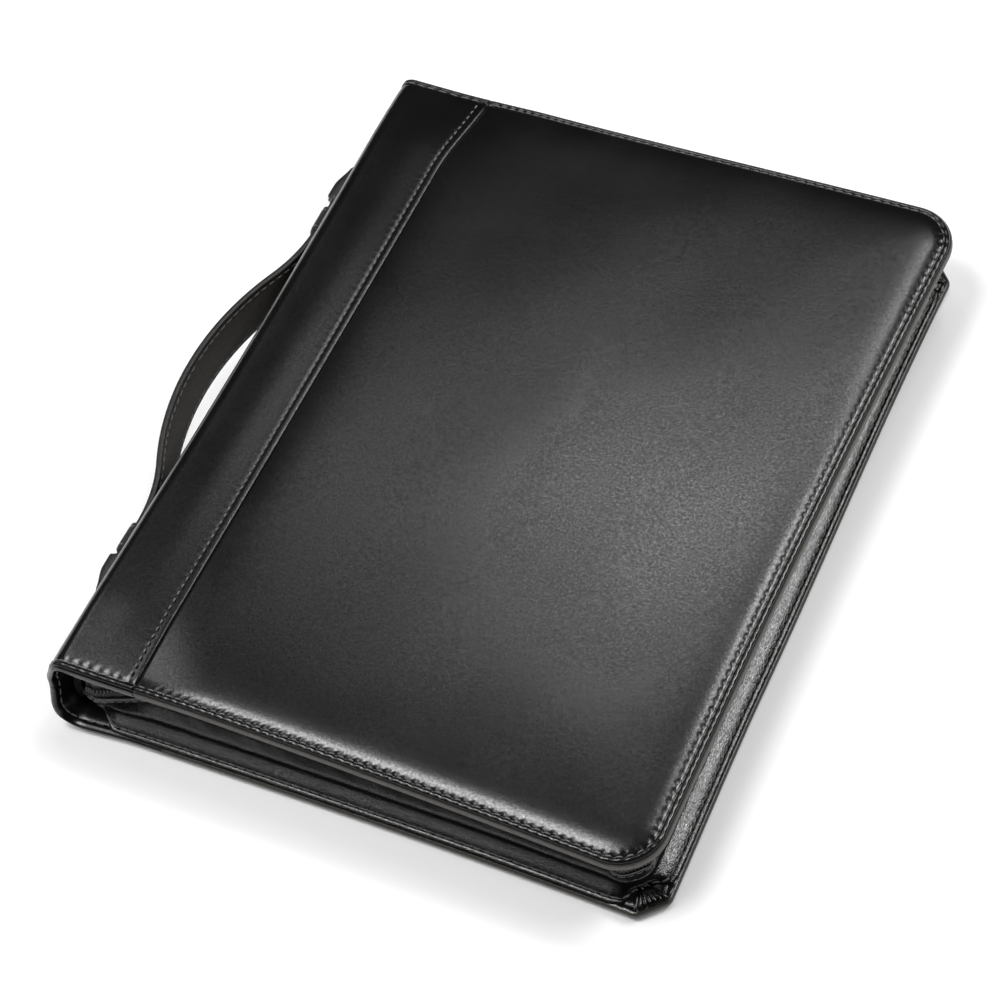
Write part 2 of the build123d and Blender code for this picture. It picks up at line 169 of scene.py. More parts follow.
def volume(points, faces):
    """Signed volume inside closed faces, negative where they face inwards."""
    total = 0.0
    for size in set(len(face) for face in faces):
        some = points[np.array([face for face in faces if len(face) == size])]
        for k in range(1, size - 1):
            total += np.einsum("ij,ij->", some[:, 0], np.cross(some[:, k], some[:, k + 1]))
    return total / 6


def piece(name, points, faces, material, body=None, slot=None, hides=(), raw_side_and_reflection=None, round_caps=False):
    """A mesh object from points in millimetres and a list of faces, turned so that they face outwards.
    body is the body it rides on; a fold, two bodies and the two ends of the bend in metres, is not
    used, and the piece stays where it is made."""
    points = np.asarray(points, float)
    if volume(points, faces) < 0:
        faces = [face[::-1] for face in faces]
    mesh = bpy.data.meshes.new(name)
    mesh.from_pydata((points * MM).tolist(), [], faces)
    mesh.validate()
    mesh.update()
    mesh.polygons.foreach_set("use_smooth", [round_caps or p.loop_total <= 4 for p in mesh.polygons])
    if raw_side_and_reflection is not None:
        layer = mesh.attributes.new("raw_side_and_reflection", "FLOAT", "POINT")
        layer.data.foreach_set("value", np.asarray(raw_side_and_reflection, np.float32).ravel())
    obj = bpy.data.objects.new(name, mesh)
    bpy.context.scene.collection.objects.link(obj)
    obj.data.materials.append(material)
    if isinstance(body, tuple):
        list(body)
        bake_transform(obj)
    elif body:
        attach(obj, body)
    if hides:
        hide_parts(*hides)
    return obj


def fold(first_body, second_body, start, stop):
    """A bend between two bodies, from its ends in millimetres."""
    return first_body, second_body, [c * MM for c in start], [c * MM for c in stop]


def grid_faces(rows, columns, wrap_rows=False, wrap_columns=False, first=0):
    """Quads of a rows by columns grid of points."""
    r = np.arange(rows if wrap_rows else rows - 1)
    c = np.arange(columns if wrap_columns else columns - 1)
    r, c = np.meshgrid(r, c, indexing="ij")
    r2, c2 = (r + 1) % rows, (c + 1) % columns
    quads = np.stack([r * columns + c, r * columns + c2, r2 * columns + c2, r2 * columns + c], -1)
    return (quads.reshape(-1, 4) + first).tolist()


def tube_faces(rings, sides, first=0):
    """Faces of a closed tube made of rings, with its two ends capped."""
    faces = grid_faces(rings, sides, wrap_columns=True, first=first)
    faces.append([first + k for k in range(sides)][::-1])
    faces.append([first + (rings - 1) * sides + k for k in range(sides)])
    return faces


def capped_faces(rows, columns):
    """Faces of nested closed loops, with the first and the last loop filled."""
    faces = grid_faces(rows, columns, wrap_columns=True)
    faces.append(list(range(columns))[::-1])
    faces.append([(rows - 1) * columns + k for k in range(columns)])
    return faces


def joined(name, meshes, material, body, slot, hides=()):
    """Several small meshes, each as points and faces, as one piece."""
    points, faces, first = [], [], 0
    for some, some_faces in meshes:
        points.append(some.reshape(-1, 3))
        faces.extend([[i + first for i in face] for face in some_faces])
        first += len(points[-1])
    return piece(name, np.concatenate(points), faces, material, body, slot, hides)


def repeated(points, faces):
    """The same faces for every copy of a small mesh: points is copies by verts by 3."""
    copies, size = points.shape[:2]
    faces = [[i + k * size for i in face] for k in range(copies) for face in faces]
    return points.reshape(-1, 3), faces


def closed_sheet(outer, inner, bulge):
    """A closed soft sheet from the grids of its two faces, with a rounded rim all round."""
    rows, columns = outer.shape[:2]
    border = (
        [(0, c) for c in range(columns)] + [(r, columns - 1) for r in range(1, rows)]
        + [(rows - 1, c) for c in range(columns - 2, -1, -1)] + [(r, 0) for r in range(rows - 2, 0, -1)]
    )
    r, c = np.array(border).T
    back_r, back_c = np.clip(r, 1, rows - 2), np.clip(c, 1, columns - 2)
    out = unit(outer[r, c] - outer[back_r, back_c])
    grid = rows * columns
    points = [outer.reshape(-1, 3), inner.reshape(-1, 3)]
    for share in (0.15, 0.5, 0.85):
        reach = bulge * math.sin(math.pi * share)
        points.append(outer[r, c] * (1 - share) + inner[r, c] * share + out * reach)
    faces = [face[::-1] for face in grid_faces(rows, columns)]
    faces += grid_faces(rows, columns, first=grid)
    on_outer = r * columns + c
    count = len(border)
    rims = [2 * grid + k * count + np.arange(count) for k in range(3)]
    levels = [on_outer] + rims + [grid + on_outer]
    for low, high in zip(levels[:-1], levels[1:]):
        ahead_low, ahead_high = np.roll(low, -1), np.roll(high, -1)
        faces += np.stack([low, ahead_low, ahead_high, high], -1).tolist()
    return np.concatenate(points), faces


def stitch_line(points, normals, pitch, radius, length=0.8):
    """Stitches at an even pitch along a polyline whose surface faces along normals."""
    steps = np.linalg.norm(np.diff(points, axis=0), axis=1)
    run = np.concatenate([[0], np.cumsum(steps)])
    pitch = fit_pitch(run[-1], pitch)
    where = (np.arange(int(round(run[-1] / pitch))) + 0.5) * pitch

    def at(s, values):
        return np.stack([np.interp(s, run, values[:, k]) for k in range(3)], -1)

    return thread(
        at(where, points), at(where + 0.4, points) - at(where - 0.4, points), at(where, normals),
        pitch * length, radius,
    )


def thread(centres, along, up, length, radius):
    """One short arched stitch of thread at each centre."""
    sink, lift = 0.12, 0.22
    steps = np.array([-1.0, -0.72, -0.25, 0.25, 0.72, 1.0])
    girth = np.array([0.55, 0.92, 1.0, 1.0, 0.92, 0.55])
    sides = 7
    angle = np.arange(sides) * TWO_PI / sides
    along, up = unit(along), unit(up)
    side = unit(np.cross(along, up))
    up = np.cross(side, along)
    jitter = rng.normal(0, 0.045, (len(centres), 2))
    along = unit(along + side * jitter[:, :1])
    bow = lift * (1 - steps**2) - sink
    middle = (
        centres[:, None] + along[:, None] * (steps * length / 2)[None, :, None]
        + up[:, None] * bow[None, :, None]
    )
    around = (
        side[:, None, None] * np.cos(angle)[None, None, :, None]
        + up[:, None, None] * np.sin(angle)[None, None, :, None]
    )
    rings = middle[:, :, None] + around * (radius * girth)[None, :, None, None]
    size = len(steps) * sides
    return repeated(rings.reshape(len(centres), size, 3), tube_faces(len(steps), sides))


# ------------------------------------------------------------------ materials
class Nodes:
    """A new material and short ways to add and join its nodes."""

    def __init__(self, name, display):
        self.material = bpy.data.materials.new(name)
        self.material.use_nodes = True
        self.material.diffuse_color = (*display, 1)
        self.tree = self.material.node_tree
        self.shader = self.tree.nodes["Principled BSDF"]

    def add(self, kind, inputs=None, **settings):
        node = self.tree.nodes.new(kind)
        for key, value in settings.items():
            setattr(node, key, value)
        for key, value in (inputs or {}).items():
            if isinstance(value, bpy.types.NodeSocket):
                self.tree.links.new(value, node.inputs[key])
            else:
                node.inputs[key].default_value = value
        return node

    def math(self, operation, a, b=0.0, c=0.0):
        return self.add("ShaderNodeMath", {0: a, 1: b, 2: c}, operation=operation).outputs[0]

    def noise(self, scale, detail=3.0, rough=0.55, vector=None):
        inputs = {"Scale": scale, "Detail": detail, "Roughness": rough}
        if vector is not None:
            inputs["Vector"] = vector
        return self.add("ShaderNodeTexNoise", inputs).outputs["Fac"]

    def place(self):
        return self.add("ShaderNodeTexCoord").outputs["Object"]

    def ramp(self, value, low, high, start, end):
        inputs = {"Value": value, 1: start, 2: end, 3: low, 4: high}
        return self.add("ShaderNodeMapRange", inputs, clamp=True).outputs[0]

    def mix(self, factor, a, b):
        node = self.add("ShaderNodeMix", data_type="RGBA")
        for socket, value in ((0, factor), (6, a), (7, b)):
            if isinstance(value, bpy.types.NodeSocket):
                self.tree.links.new(value, node.inputs[socket])
            else:
                node.inputs[socket].default_value = value if socket == 0 else (*value, 1)
        return node.outputs[2]

    def set(self, name, value):
        if isinstance(value, bpy.types.NodeSocket):
            self.tree.links.new(value, self.shader.inputs[name])
        else:
            self.shader.inputs[name].default_value = value

    def bump(self, height, strength, distance):
        inputs = {"Height": height, "Strength": strength, "Distance": distance}
        self.set("Normal", self.add("ShaderNodeBump", inputs).outputs[0])


def leather(name, dark, light, rough, grain=0.7, crease=0.08, shine=0.5):
    """Fine-grained black leather: pebble, pores, slow gloss changes and a pale brownish tint, which is
    painted floor reflection on the covers' edge sides and the raw inner face on the strap.
    """
    n = Nodes(name, light)
    place = n.place()
    wander = n.add("ShaderNodeTexNoise", {"Vector": place, "Scale": 420.0, "Detail": 2.0})
    bent = n.add("ShaderNodeMix", {0: 0.0012}, data_type="VECTOR")
    n.tree.links.new(place, bent.inputs[4])
    n.tree.links.new(wander.outputs["Color"], bent.inputs[5])
    cells = n.add(
        "ShaderNodeTexVoronoi", {"Vector": bent.outputs[1], "Scale": 1050.0, "Randomness": 1.0},
        feature="DISTANCE_TO_EDGE",
    ).outputs["Distance"]
    pebble = n.ramp(cells, 0.0, 1.0, 0.0, 0.34)
    pores = n.noise(2600.0, 2.0, 0.6, place)
    folds = n.noise(230.0, 5.0, 0.62, place)
    height = n.math("MULTIPLY", pebble, grain)
    height = n.math("MULTIPLY_ADD", pores, 0.35 * grain, height)
    height = n.math("MULTIPLY_ADD", folds, crease, height)
    n.bump(height, 0.9, 0.000012)
    slow = n.noise(26.0, 3.0, 0.5, place)
    cloud = n.noise(7.0, 2.0, 0.5, place)
    raw_side_and_reflection_mask = n.add("ShaderNodeAttribute", attribute_name="raw_side_and_reflection").outputs["Fac"]
    colour = n.mix(n.ramp(slow, 0.0, 1.0, 0.35, 0.7), dark, light)
    # Painted reflection: the pale brownish tint on the covers' rolled-edge sides stands in for the
    # floor seen in them; on the strap it marks the raw inner face.
    colour = n.mix(n.math("MULTIPLY", raw_side_and_reflection_mask, 0.9), colour, (0.046, 0.041, 0.032))
    n.set("Base Color", colour)
    gloss = n.math("MULTIPLY_ADD", slow, 0.03, rough - 0.04)
    gloss = n.math("MULTIPLY_ADD", cloud, 0.03, gloss)
    gloss = n.math("MULTIPLY_ADD", pores, 0.05, gloss)
    gloss = n.math("MULTIPLY_ADD", raw_side_and_reflection_mask, 0.26, gloss)
    n.set("Roughness", gloss)
    fleck = n.math("MULTIPLY_ADD", n.noise(900.0, 2.0, 0.7, place), 1.9 * shine, -0.1 * shine)
    n.set("Specular IOR Level", n.math("MULTIPLY_ADD", pebble, 0.3 * shine, fleck))
    return n.material


def weave(name, dark, light, pitch, rough=0.85, sheen=0.25):
    """Woven cloth or tape: crossing threads with a soft sheen."""
    n = Nodes(name, light)
    place = n.place()
    split = n.add("ShaderNodeSeparateXYZ", {0: place})
    turns = TWO_PI / (pitch * MM)
    warp = n.math("SINE", n.math("MULTIPLY", split.outputs[0], turns))
    weft = n.math("SINE", n.math("MULTIPLY", split.outputs[1], turns))
    rise = n.math("SINE", n.math("MULTIPLY", split.outputs[2], turns))
    cloth = n.math("MULTIPLY", warp, weft)
    cloth = n.math("MULTIPLY_ADD", rise, 0.45, cloth)
    fuzz = n.noise(1500.0, 3.0, 0.6, place)
    height = n.math("MULTIPLY_ADD", fuzz, 0.6, cloth)
    n.bump(height, 0.5, 0.00012)
    n.set("Base Color", n.mix(n.ramp(height, 0.0, 1.0, -0.6, 1.2), dark, light))
    n.set("Roughness", n.math("MULTIPLY_ADD", fuzz, 0.12, rough - 0.06))
    n.set("Sheen Weight", sheen)
    n.set("Sheen Roughness", 0.5)
    return n.material


def twisted_thread(name, dark, light):
    """Sewing thread: fine slanted strands."""
    n = Nodes(name, light)
    place = n.place()
    strands = n.noise(3800.0, 2.0, 0.5, place)
    n.bump(strands, 0.5, 0.00008)
    n.set("Base Color", n.mix(n.ramp(strands, 0.0, 1.0, 0.3, 0.7), dark, light))
    n.set("Roughness", n.math("MULTIPLY_ADD", strands, 0.2, 0.42))
    n.set("Sheen Weight", 0.2)
    return n.material


def metal(name, colour, rough, brushed=0.04):
    """Plated or lacquered metal with faint wear and fine scratches."""
    n = Nodes(name, colour)
    place = n.place()
    smear = n.noise(90.0, 4.0, 0.6, place)
    grit = n.noise(1400.0, 2.0, 0.6, place)
    n.bump(grit, brushed, 0.00004)
    tarnish = tuple(c * 0.82 for c in colour)
    n.set("Base Color", n.mix(n.ramp(smear, 0.0, 1.0, 0.35, 0.75), colour, tarnish))
    n.set("Roughness", n.math("MULTIPLY_ADD", smear, 0.12, rough - 0.05))
    n.set("Metallic", 1.0)
    return n.material


def nylon(name, dark, light):
    """Moulded nylon of the zip coil."""
    n = Nodes(name, light)
    grit = n.noise(1900.0, 2.0, 0.5, n.place())
    n.bump(grit, 0.2, 0.00005)
    n.set("Base Color", n.mix(grit, dark, light))
    n.set("Roughness", n.math("MULTIPLY_ADD", grit, 0.15, 0.26))
    n.set("Coat Weight", 0.2)
    return n.material


def binder_board(name):
    """Grey-brown pressed board."""
    n = Nodes(name, (0.3, 0.27, 0.22))
    fibres = n.noise(600.0, 5.0, 0.7, n.place())
    n.bump(fibres, 0.3, 0.0001)
    n.set("Base Color", n.mix(fibres, (0.20, 0.18, 0.15), (0.38, 0.34, 0.28)))
    n.set("Roughness", n.math("MULTIPLY_ADD", fibres, 0.1, 0.84))
    return n.material


def clear_vinyl(name):
    """Clear flexible sheet, a little cloudy."""
    n = Nodes(name, (0.8, 0.82, 0.84))
    haze = n.noise(40.0, 3.0, 0.5, n.place())
    n.bump(haze, 0.15, 0.0004)
    n.set("Base Color", n.mix(haze, (0.72, 0.75, 0.78), (0.9, 0.92, 0.94)))
    n.set("Roughness", n.math("MULTIPLY_ADD", haze, 0.12, 0.06))
    n.set("Alpha", 0.22)
    return n.material


COVER_LEATHER = leather(
    "cover_leather", (0.0040, 0.0040, 0.0042), (0.0070, 0.0070, 0.0074), rough=0.19,
)
SPINE_LEATHER = leather(
    "spine_leather", (0.0034, 0.0033, 0.0033), (0.0058, 0.0056, 0.0056),
    rough=0.21, grain=0.5, shine=0.42,
)
GUSSET_LEATHER = leather(
    "gusset_leather", (0.0044, 0.0040, 0.0037), (0.0080, 0.0073, 0.0066),
    rough=0.20, grain=3.0, crease=1.0, shine=0.55,
)
STRAP_LEATHER = leather(
    "strap_leather", (0.0085, 0.0074, 0.0066), (0.0145, 0.0128, 0.0112),
    rough=0.50, grain=3.0, crease=0.6,
)
POCKET_LEATHER = leather(
    "pocket_leather", (0.0085, 0.0085, 0.0088), (0.0140, 0.0138, 0.0138),
    rough=0.52, grain=3.0, crease=0.6,
)
# The thread's colour is partly its own grey-black and partly painted highlight: it is lightened to
# stand in for the glints on its strands.
THREAD = twisted_thread("stitching_thread", (0.062, 0.060, 0.058), (0.20, 0.195, 0.188))
LINING = weave("lining_cloth", (0.010, 0.010, 0.011), (0.030, 0.030, 0.032), 0.9)
TAPE = weave("zip_tape_cloth", (0.006, 0.006, 0.006), (0.018, 0.018, 0.018), 0.55, 0.8)
TEETH = nylon("zip_coil", (0.012, 0.0115, 0.011), (0.028, 0.027, 0.026))
BLACK_METAL = metal("black_nickel", (0.035, 0.035, 0.037), 0.30)
NICKEL = metal("bright_nickel", (0.62, 0.61, 0.60), 0.16)
BOARD = binder_board("binder_board")
FOAM = weave("padding_foam", (0.05, 0.05, 0.052), (0.09, 0.09, 0.094), 1.4, 0.95, 0.05)
VINYL = clear_vinyl("clear_vinyl")

CAD_MATERIALS = {
    "lining": LINING, "board": BOARD, "foam": FOAM, "zip_tape": TAPE, "zip_teeth": TEETH,
    "black_metal": BLACK_METAL, "nickel": NICKEL, "cover_leather": COVER_LEATHER,
    "spine_leather": SPINE_LEATHER, "gusset_leather": GUSSET_LEATHER,
    "strap_leather": STRAP_LEATHER, "pocket_leather": POCKET_LEATHER, "clear_vinyl": VINYL,
}


def dress_cad_nodes():
    """Every CAD node takes the finish of its record slot."""
    for part in frame["record"]["subparts"]:
        node = frame["nodes"][part["node"]]
        node.data.materials.clear()
        node.data.materials.append(CAD_MATERIALS[part["material_slot"]])


# ------------------------------------------------------------------ outlines
class Outline:
    """A rounded polygon that can be drawn again at any inset, always with the same points."""

    def __init__(self, corners, radii, step):
        self.corners = np.asarray(corners, float)
        self.radii = np.asarray(radii, float)
        edges = np.roll(self.corners, -1, 0) - self.corners
        self.ahead = unit(edges)
        self.back = np.roll(self.ahead, 1, 0)
        self.turn = np.arccos(np.clip((self.ahead * self.back).sum(1), -1, 1))
        self.inward_in = np.stack([-self.back[:, 1], self.back[:, 0]], 1)
        self.inward_out = np.stack([-self.ahead[:, 1], self.ahead[:, 0]], 1)
        mitre = unit(self.inward_in + self.inward_out)
        self.mitre = mitre / np.cos(self.turn / 2)[:, None]
        self.lengths = np.linalg.norm(edges, axis=1)
        tangent = self.radii * np.tan(self.turn / 2)
        self.arc_steps = np.maximum(3, np.ceil(self.radii * self.turn / step)).astype(int)
        straight = self.lengths - tangent - np.roll(tangent, -1)
        self.edge_steps = np.maximum(1, np.round(straight / step)).astype(int)

    def loop(self, inset):
        """The outline's points at an inset, anticlockwise."""
        corners = self.corners + self.mitre * inset
        radii = np.maximum(self.radii - inset, 0.02)
        tangent = radii * np.tan(self.turn / 2)
        points = []
        count = len(corners)
        for k in range(count):
            start = corners[k] - self.back[k] * tangent[k]
            centre = start + self.inward_in[k] * radii[k]
            share = np.arange(self.arc_steps[k] + 1) / self.arc_steps[k]
            angle = share * self.turn[k]
            arm = -self.inward_in[k]
            turned = np.stack(
                [
                    arm[0] * np.cos(angle) - arm[1] * np.sin(angle),
                    arm[0] * np.sin(angle) + arm[1] * np.cos(angle),
                ], 1,
            )
            points.append(centre + turned * radii[k])
            nxt = (k + 1) % count
            end = corners[nxt] - self.back[nxt] * tangent[nxt]
            first = points[-1][-1]
            steps = self.edge_steps[k]
            share = (np.arange(1, steps) / steps)[:, None]
            points.append(first + (end - first) * share)
        return np.concatenate(points)

    def run(self, inset):
        """Distance along the loop at an inset, and the loop's whole length."""
        loop = self.loop(inset)
        steps = np.linalg.norm(np.roll(loop, -1, 0) - loop, axis=1)
        return np.concatenate([[0], np.cumsum(steps)[:-1]]), steps.sum()


# How deep the leather's surface lies below the outer face, going round the rolled edge of a 6 mm cover.
EDGE_INSETS = np.array([
    3.70, 3.45, 3.20, 2.90, 2.60, 2.30, 2.00, 1.70, 1.42, 1.20, 1.06, 0.96, 0.78, 0.55, 0.34, 0.20,
    0.10, 0.04, 0.00, 0.02, 0.12, 0.50, 1.30, 2.40, 3.00, 3.30, 3.60, 3.90, 4.30, 6.00, 9.00, 11.00,
    11.35,
])
EDGE_DEPTHS = np.array([
    0.78, 0.84, 0.70, 0.38, 0.20, 0.16, 0.24, 0.37, 0.53, 0.72, 1.00, 1.26, 1.36, 1.52, 1.80, 2.20,
    2.68, 3.20, 3.90, 4.60, 5.10, 5.62, 6.02, 6.22, 6.12, 5.95, 5.86, 5.95, 6.12, 6.30, 6.36, 6.38,
    6.20,
])
# Above this depth the profile belongs to the outer face, below it to the face turned inwards.
EDGE_TURN = 2.70
ON_FACE = EDGE_DEPTHS <= EDGE_TURN
# Insets of the loops on the padded face, from its middle to the stitches.
PAD_INSETS = np.array([
    20.0, 17.3, 14.9, 12.8, 11.0, 9.6, 8.5, 7.6, 6.9, 6.3, 5.8, 5.35, 4.95, 4.55, 4.2, 3.92,
])


def edge_depths(thickness):
    """The rolled edge's depths for another cover thickness, which may vary from point to point."""
    below = EDGE_DEPTHS > EDGE_TURN
    depth = np.multiply.outer(EDGE_DEPTHS, np.ones_like(thickness))
    share = (np.asarray(thickness) - EDGE_TURN) / (FRONT_T - EDGE_TURN)
    depth[below] = EDGE_TURN + (depth[below] - EDGE_TURN) * share
    return depth


def pucker(run, pitch, seed):
    """Gathers along a line of stitches: -1 at each needle hole, uneven in strength."""
    draw = np.random.default_rng(seed)
    knots = np.arange(0, run.max() + 2 * pitch, pitch)
    strength = np.interp(run, knots, draw.uniform(0.6, 1.25, len(knots)))
    drift = np.interp(run, knots, draw.normal(0, 0.07, len(knots)))
    return -np.cos(TWO_PI * (run / pitch + drift)) * strength


def fit_pitch(length, pitch):
    """The pitch nearest the given one that divides the length into whole stitches."""
    return length / max(1, round(length / pitch))


# ------------------------------------------------------------------ cover panels
def middle_line(outline, loop):
    """The nearest points on a panel's middle line, to which its loops close."""
    left, right = outline.corners[:, 0].min(), outline.corners[:, 0].max()
    reach = outline.corners[:, 1].max() - (right - left) / 2
    middle = np.full(len(loop), (left + right) / 2)
    return np.stack([middle, np.clip(loop[:, 1], -reach, reach)], 1)


def cover_panel(name, body, outline, place, thickness, fast, slow, uneven, gathers, hides, seed):
    """A leather panel over padding, its rolled and stitched edge and its turned-in margin. fast and
    slow are how far the padding swells beside the stitches and over the whole panel."""
    left, right = outline.corners[:, 0].min(), outline.corners[:, 0].max()
    seam = left + 3.0
    run, whole = outline.run(STITCH_INSET)
    pitch = fit_pitch(whole, STITCH_PITCH)
    gather = pucker(run, pitch, seed)
    hole = 0.5 - 0.5 * np.cos(TWO_PI * run / pitch)
    base = outline.loop(0.0)
    stitched = smooth(seam + 1.0, seam + 5.0, base[:, 0])
    board_depth = thickness - 1.7
    lip_at, lip_w = EDGE_INSETS[ON_FACE][::-1], -EDGE_DEPTHS[ON_FACE][::-1]
    rings, raw_side_and_reflection = [], []

    def surface(u, v, edge, amount):
        edge = np.where(u < left + 25.0, HALF - np.abs(v), edge)
        away = np.maximum(edge - STITCH_INSET, 0)
        far = -7.0 * np.log(np.exp((u - right) / 7.0) + np.exp((np.abs(v) - HALF) / 7.0))
        far = np.maximum(far - STITCH_INSET, 0)
        w = -0.78 + fast * (1 - np.exp(-away / 1.9))
        w = w + slow * (1 - 0.72 * np.exp(-away / 5.5) - 0.28 * np.exp(-far / 22.0))
        w = w + uneven * waves(u, v, 95.0, seed) * smooth(9, 40, edge)
        w = w + amount * gather * stitched * gathers * hump(STITCH_INSET + 1.1, 1.0, edge)
        w = w - 0.95 * np.exp(-np.maximum(u - seam, 0) / 9.0)
        w = np.where(edge < EDGE_INSETS[0], np.interp(edge, lip_at, lip_w), w)
        swell = smooth(seam - 0.3, seam + 1.1, u)
        return w * swell + (1 - swell) * np.minimum(w, -1.15)

    def top_ring(points, inset, amount):
        u, v = points[:, 0], points[:, 1]
        if inset is None:
            near, blur = PAD_INSETS[0], 2.5
            aside = np.exp((near - right + u) / blur) + np.exp((near - HALF + np.abs(v)) / blur)
            edge = near - blur * np.log(aside)
        else:
            edge = inset + 0 * u
        rings.append(place(u, v, surface(u, v, edge, amount)))
        raw_side_and_reflection.append(np.zeros(len(u)))

    inner = outline.loop(PAD_INSETS[0])
    line = middle_line(outline, inner)
    for share in np.linspace(0.96, 0.04, 15):
        top_ring(inner + (line - inner) * share, None, 0.0)
    for inset in PAD_INSETS:
        top_ring(outline.loop(inset), inset, 1.0)

    def cut_margin(u, v, w):
        across = (u < left + 12.0) & (np.abs(v) < HALF - 11.4)
        return np.where(across, np.maximum(w, -board_depth), w)

    for inset, depth in zip(EDGE_INSETS, edge_depths(thickness)):
        loop = outline.loop(inset)
        u, v = loop[:, 0].copy(), loop[:, 1].copy()
        upper = depth < EDGE_TURN
        beside = (u < left + 12.0) & (HALF - np.abs(v) > inset + 0.4)
        w = np.where(beside & upper, surface(u, v, inset + 0 * u, 0.0), -float(depth))
        dent = hump(STITCH_INSET - 0.15, 0.4, inset) * (0.22 * (1 - hole))
        lip = 0.10 * gather * hump(2.4, 0.8, inset)
        w = w + stitched * ((lip - dent) if upper else (dent - lip))
        tuck = 1 - smooth(seam - 0.5, seam + 0.3, u)
        v = v - np.sign(v) * 0.9 * tuck
        w = np.where(w > -EDGE_TURN, np.minimum(w, w - tuck * 0.8), w + tuck * 0.8)
        rings.append(place(u, v, cut_margin(u, v, w)))
        # Painted reflection: the side band of the rolled edge, outside the stitches, is tinted brownish
        # for the floor reflected in it, a little uneven along the edge.
        reflection_waver = 0.55 + 0.45 * waves(run, 0 * run, 40.0, 3)
        side_band_reflection = smooth(1.2, 1.7, float(depth)) * (1 - smooth(5.2, 5.7, float(depth)))
        raw_side_and_reflection.append(side_band_reflection * (inset < 1.3) * (0.75 + 0.25 * reflection_waver))
    for inset, depth in ((EDGE_INSETS[-1], thickness - 0.02), (TRAY, thickness - 0.05), (TRAY, 1.9)):
        loop = outline.loop(inset)
        w = np.full(len(loop), -depth)
        rings.append(place(loop[:, 0], loop[:, 1], cut_margin(loop[:, 0], loop[:, 1], w)))
    for share in (0.0, 0.5, 0.96):
        flat = inner + (line - inner) * share
        rings.append(place(flat[:, 0], flat[:, 1], -1.9))
    raw_side_and_reflection += [np.zeros(len(run))] * 6
    rings = np.stack(rings)
    obj = piece(
        name, rings.reshape(-1, 3), capped_faces(*rings.shape[:2]), COVER_LEATHER, body,
        "cover_leather", hides, np.stack(raw_side_and_reflection), round_caps=True,
    )


def edge_stitches(name, body, outline, place, depths, from_u):
    """Stitches along an outline, on its outer face and on the face behind it, beyond from_u."""
    loop = outline.loop(STITCH_INSET)
    run, whole = outline.run(STITCH_INSET)
    pitch = fit_pitch(whole, STITCH_PITCH)
    where = (np.arange(int(round(whole / pitch))) + 0.5) * pitch
    closed = np.concatenate([run, [whole]])
    track = np.concatenate([loop, loop[:1]])

    def at(s):
        return np.stack([np.interp(s % whole, closed, track[:, k]) for k in (0, 1)], 1)

    found, way = at(where), unit(at(where + 0.5) - at(where - 0.5))
    keep = found[:, 0] > from_u
    found, way = found[keep], way[keep]
    meshes = []
    for depth, rise in depths:
        centre = place(found[:, 0], found[:, 1], -depth)
        along = place(found[:, 0] + way[:, 0], found[:, 1] + way[:, 1], -depth) - centre
        up = place(found[:, 0], found[:, 1], -depth + rise) - centre
        meshes.append(thread(centre, along, up, pitch * 0.58, 0.36))
    joined(name, meshes, THREAD, body, "cover_leather")


def on_front(u, v, w):
    """A place on the front cover, edges pulled in."""
    return settle(cover_points(u, v, w))


def on_back(x, y, w):
    """A place on the back cover, w below its underside."""
    x, y, w = np.broadcast_arrays(*(np.asarray(a, float) for a in (x, y, w)))
    return settle(np.stack([x, y, -w], -1))


def covers():
    """Front and back panels with their stitching."""
    left, right = SEAM_U - 3.0, CASE_W / math.cos(TILT)
    front = Outline(
        [(left, -HALF), (right, -HALF), (right, HALF), (left, HALF)],
        [1.0, FRONT_CORNER, FRONT_CORNER, 1.0], SAMPLE,
    )
    cover_panel(
        "front_panel", "front_cover", front, on_front, FRONT_T, fast=0.62, slow=1.55, uneven=0.16,
        gathers=0.10, hides=("front_leather", "front_foam"), seed=5,
    )
    edge_stitches(
        "front_panel_stitches", "front_cover", front, on_front,
        ((0.62, 1.0), (FRONT_T - 0.05, -1.0)), SEAM_U + 0.8,
    )
    left, cut = BACK_SEAM - 3.0, 11.0
    back = Outline(
        [(left, -HALF), (OPEN_X - cut, -HALF), (OPEN_X, -HALF + cut),
         (OPEN_X, HALF - cut), (OPEN_X - cut, HALF), (left, HALF)],
        [1.0, 5.0, 5.0, 5.0, 5.0, 1.0], SAMPLE,
    )
    cover_panel(
        "back_panel", "back_cover", back, on_back, BACK_T, fast=0.70, slow=0.06, uneven=0.0,
        gathers=0.12, hides=("back_leather",), seed=9,
    )
    edge_stitches(
        "back_panel_stitches", "back_cover", back, on_back,
        ((0.62, 1.0), (BACK_T, -1.0)), BACK_SEAM + 0.8,
    )
    corner_pleats()


def corner_pleats():
    """Gathered pleats of the turned-in leather over the two cut corners of the back cover."""
    meshes = []
    cut, count = 12.5, 7
    for side in (-1, 1):
        for k in range(count):
            share = (k + 0.5) / count
            foot = np.array([OPEN_X - cut + cut * share, side * (HALF - cut * share)])
            aim = np.array([OPEN_X - 15.0, side * (HALF - 15.0)])
            way = unit(aim - foot)
            reach = np.array([0.15, 0.9, 2.4, 4.4, 6.6, 8.6])
            centre = foot + way * reach[:, None]
            height = BACK_T + np.array([-1.9, -0.35, 0.15, 0.45, 0.75, 0.6])
            middle = on_back(centre[:, 0], centre[:, 1], -height)
            angle = np.arange(8) * TWO_PI / 8
            girth = np.array([0.35, 0.85, 1.05, 0.95, 0.7, 0.25])
            across = np.array([-way[1], way[0], 0.0])
            rise = np.array([0.0, 0.0, 1.0])
            ring = across * np.cos(angle)[:, None] + rise * 0.9 * np.sin(angle)[:, None]
            rings = middle[:, None] + ring[None] * girth[:, None, None]
            meshes.append((rings.reshape(-1, 3), tube_faces(6, 8)))
    joined("back_corner_pleats", meshes, GUSSET_LEATHER, "back_cover", "cover_leather")


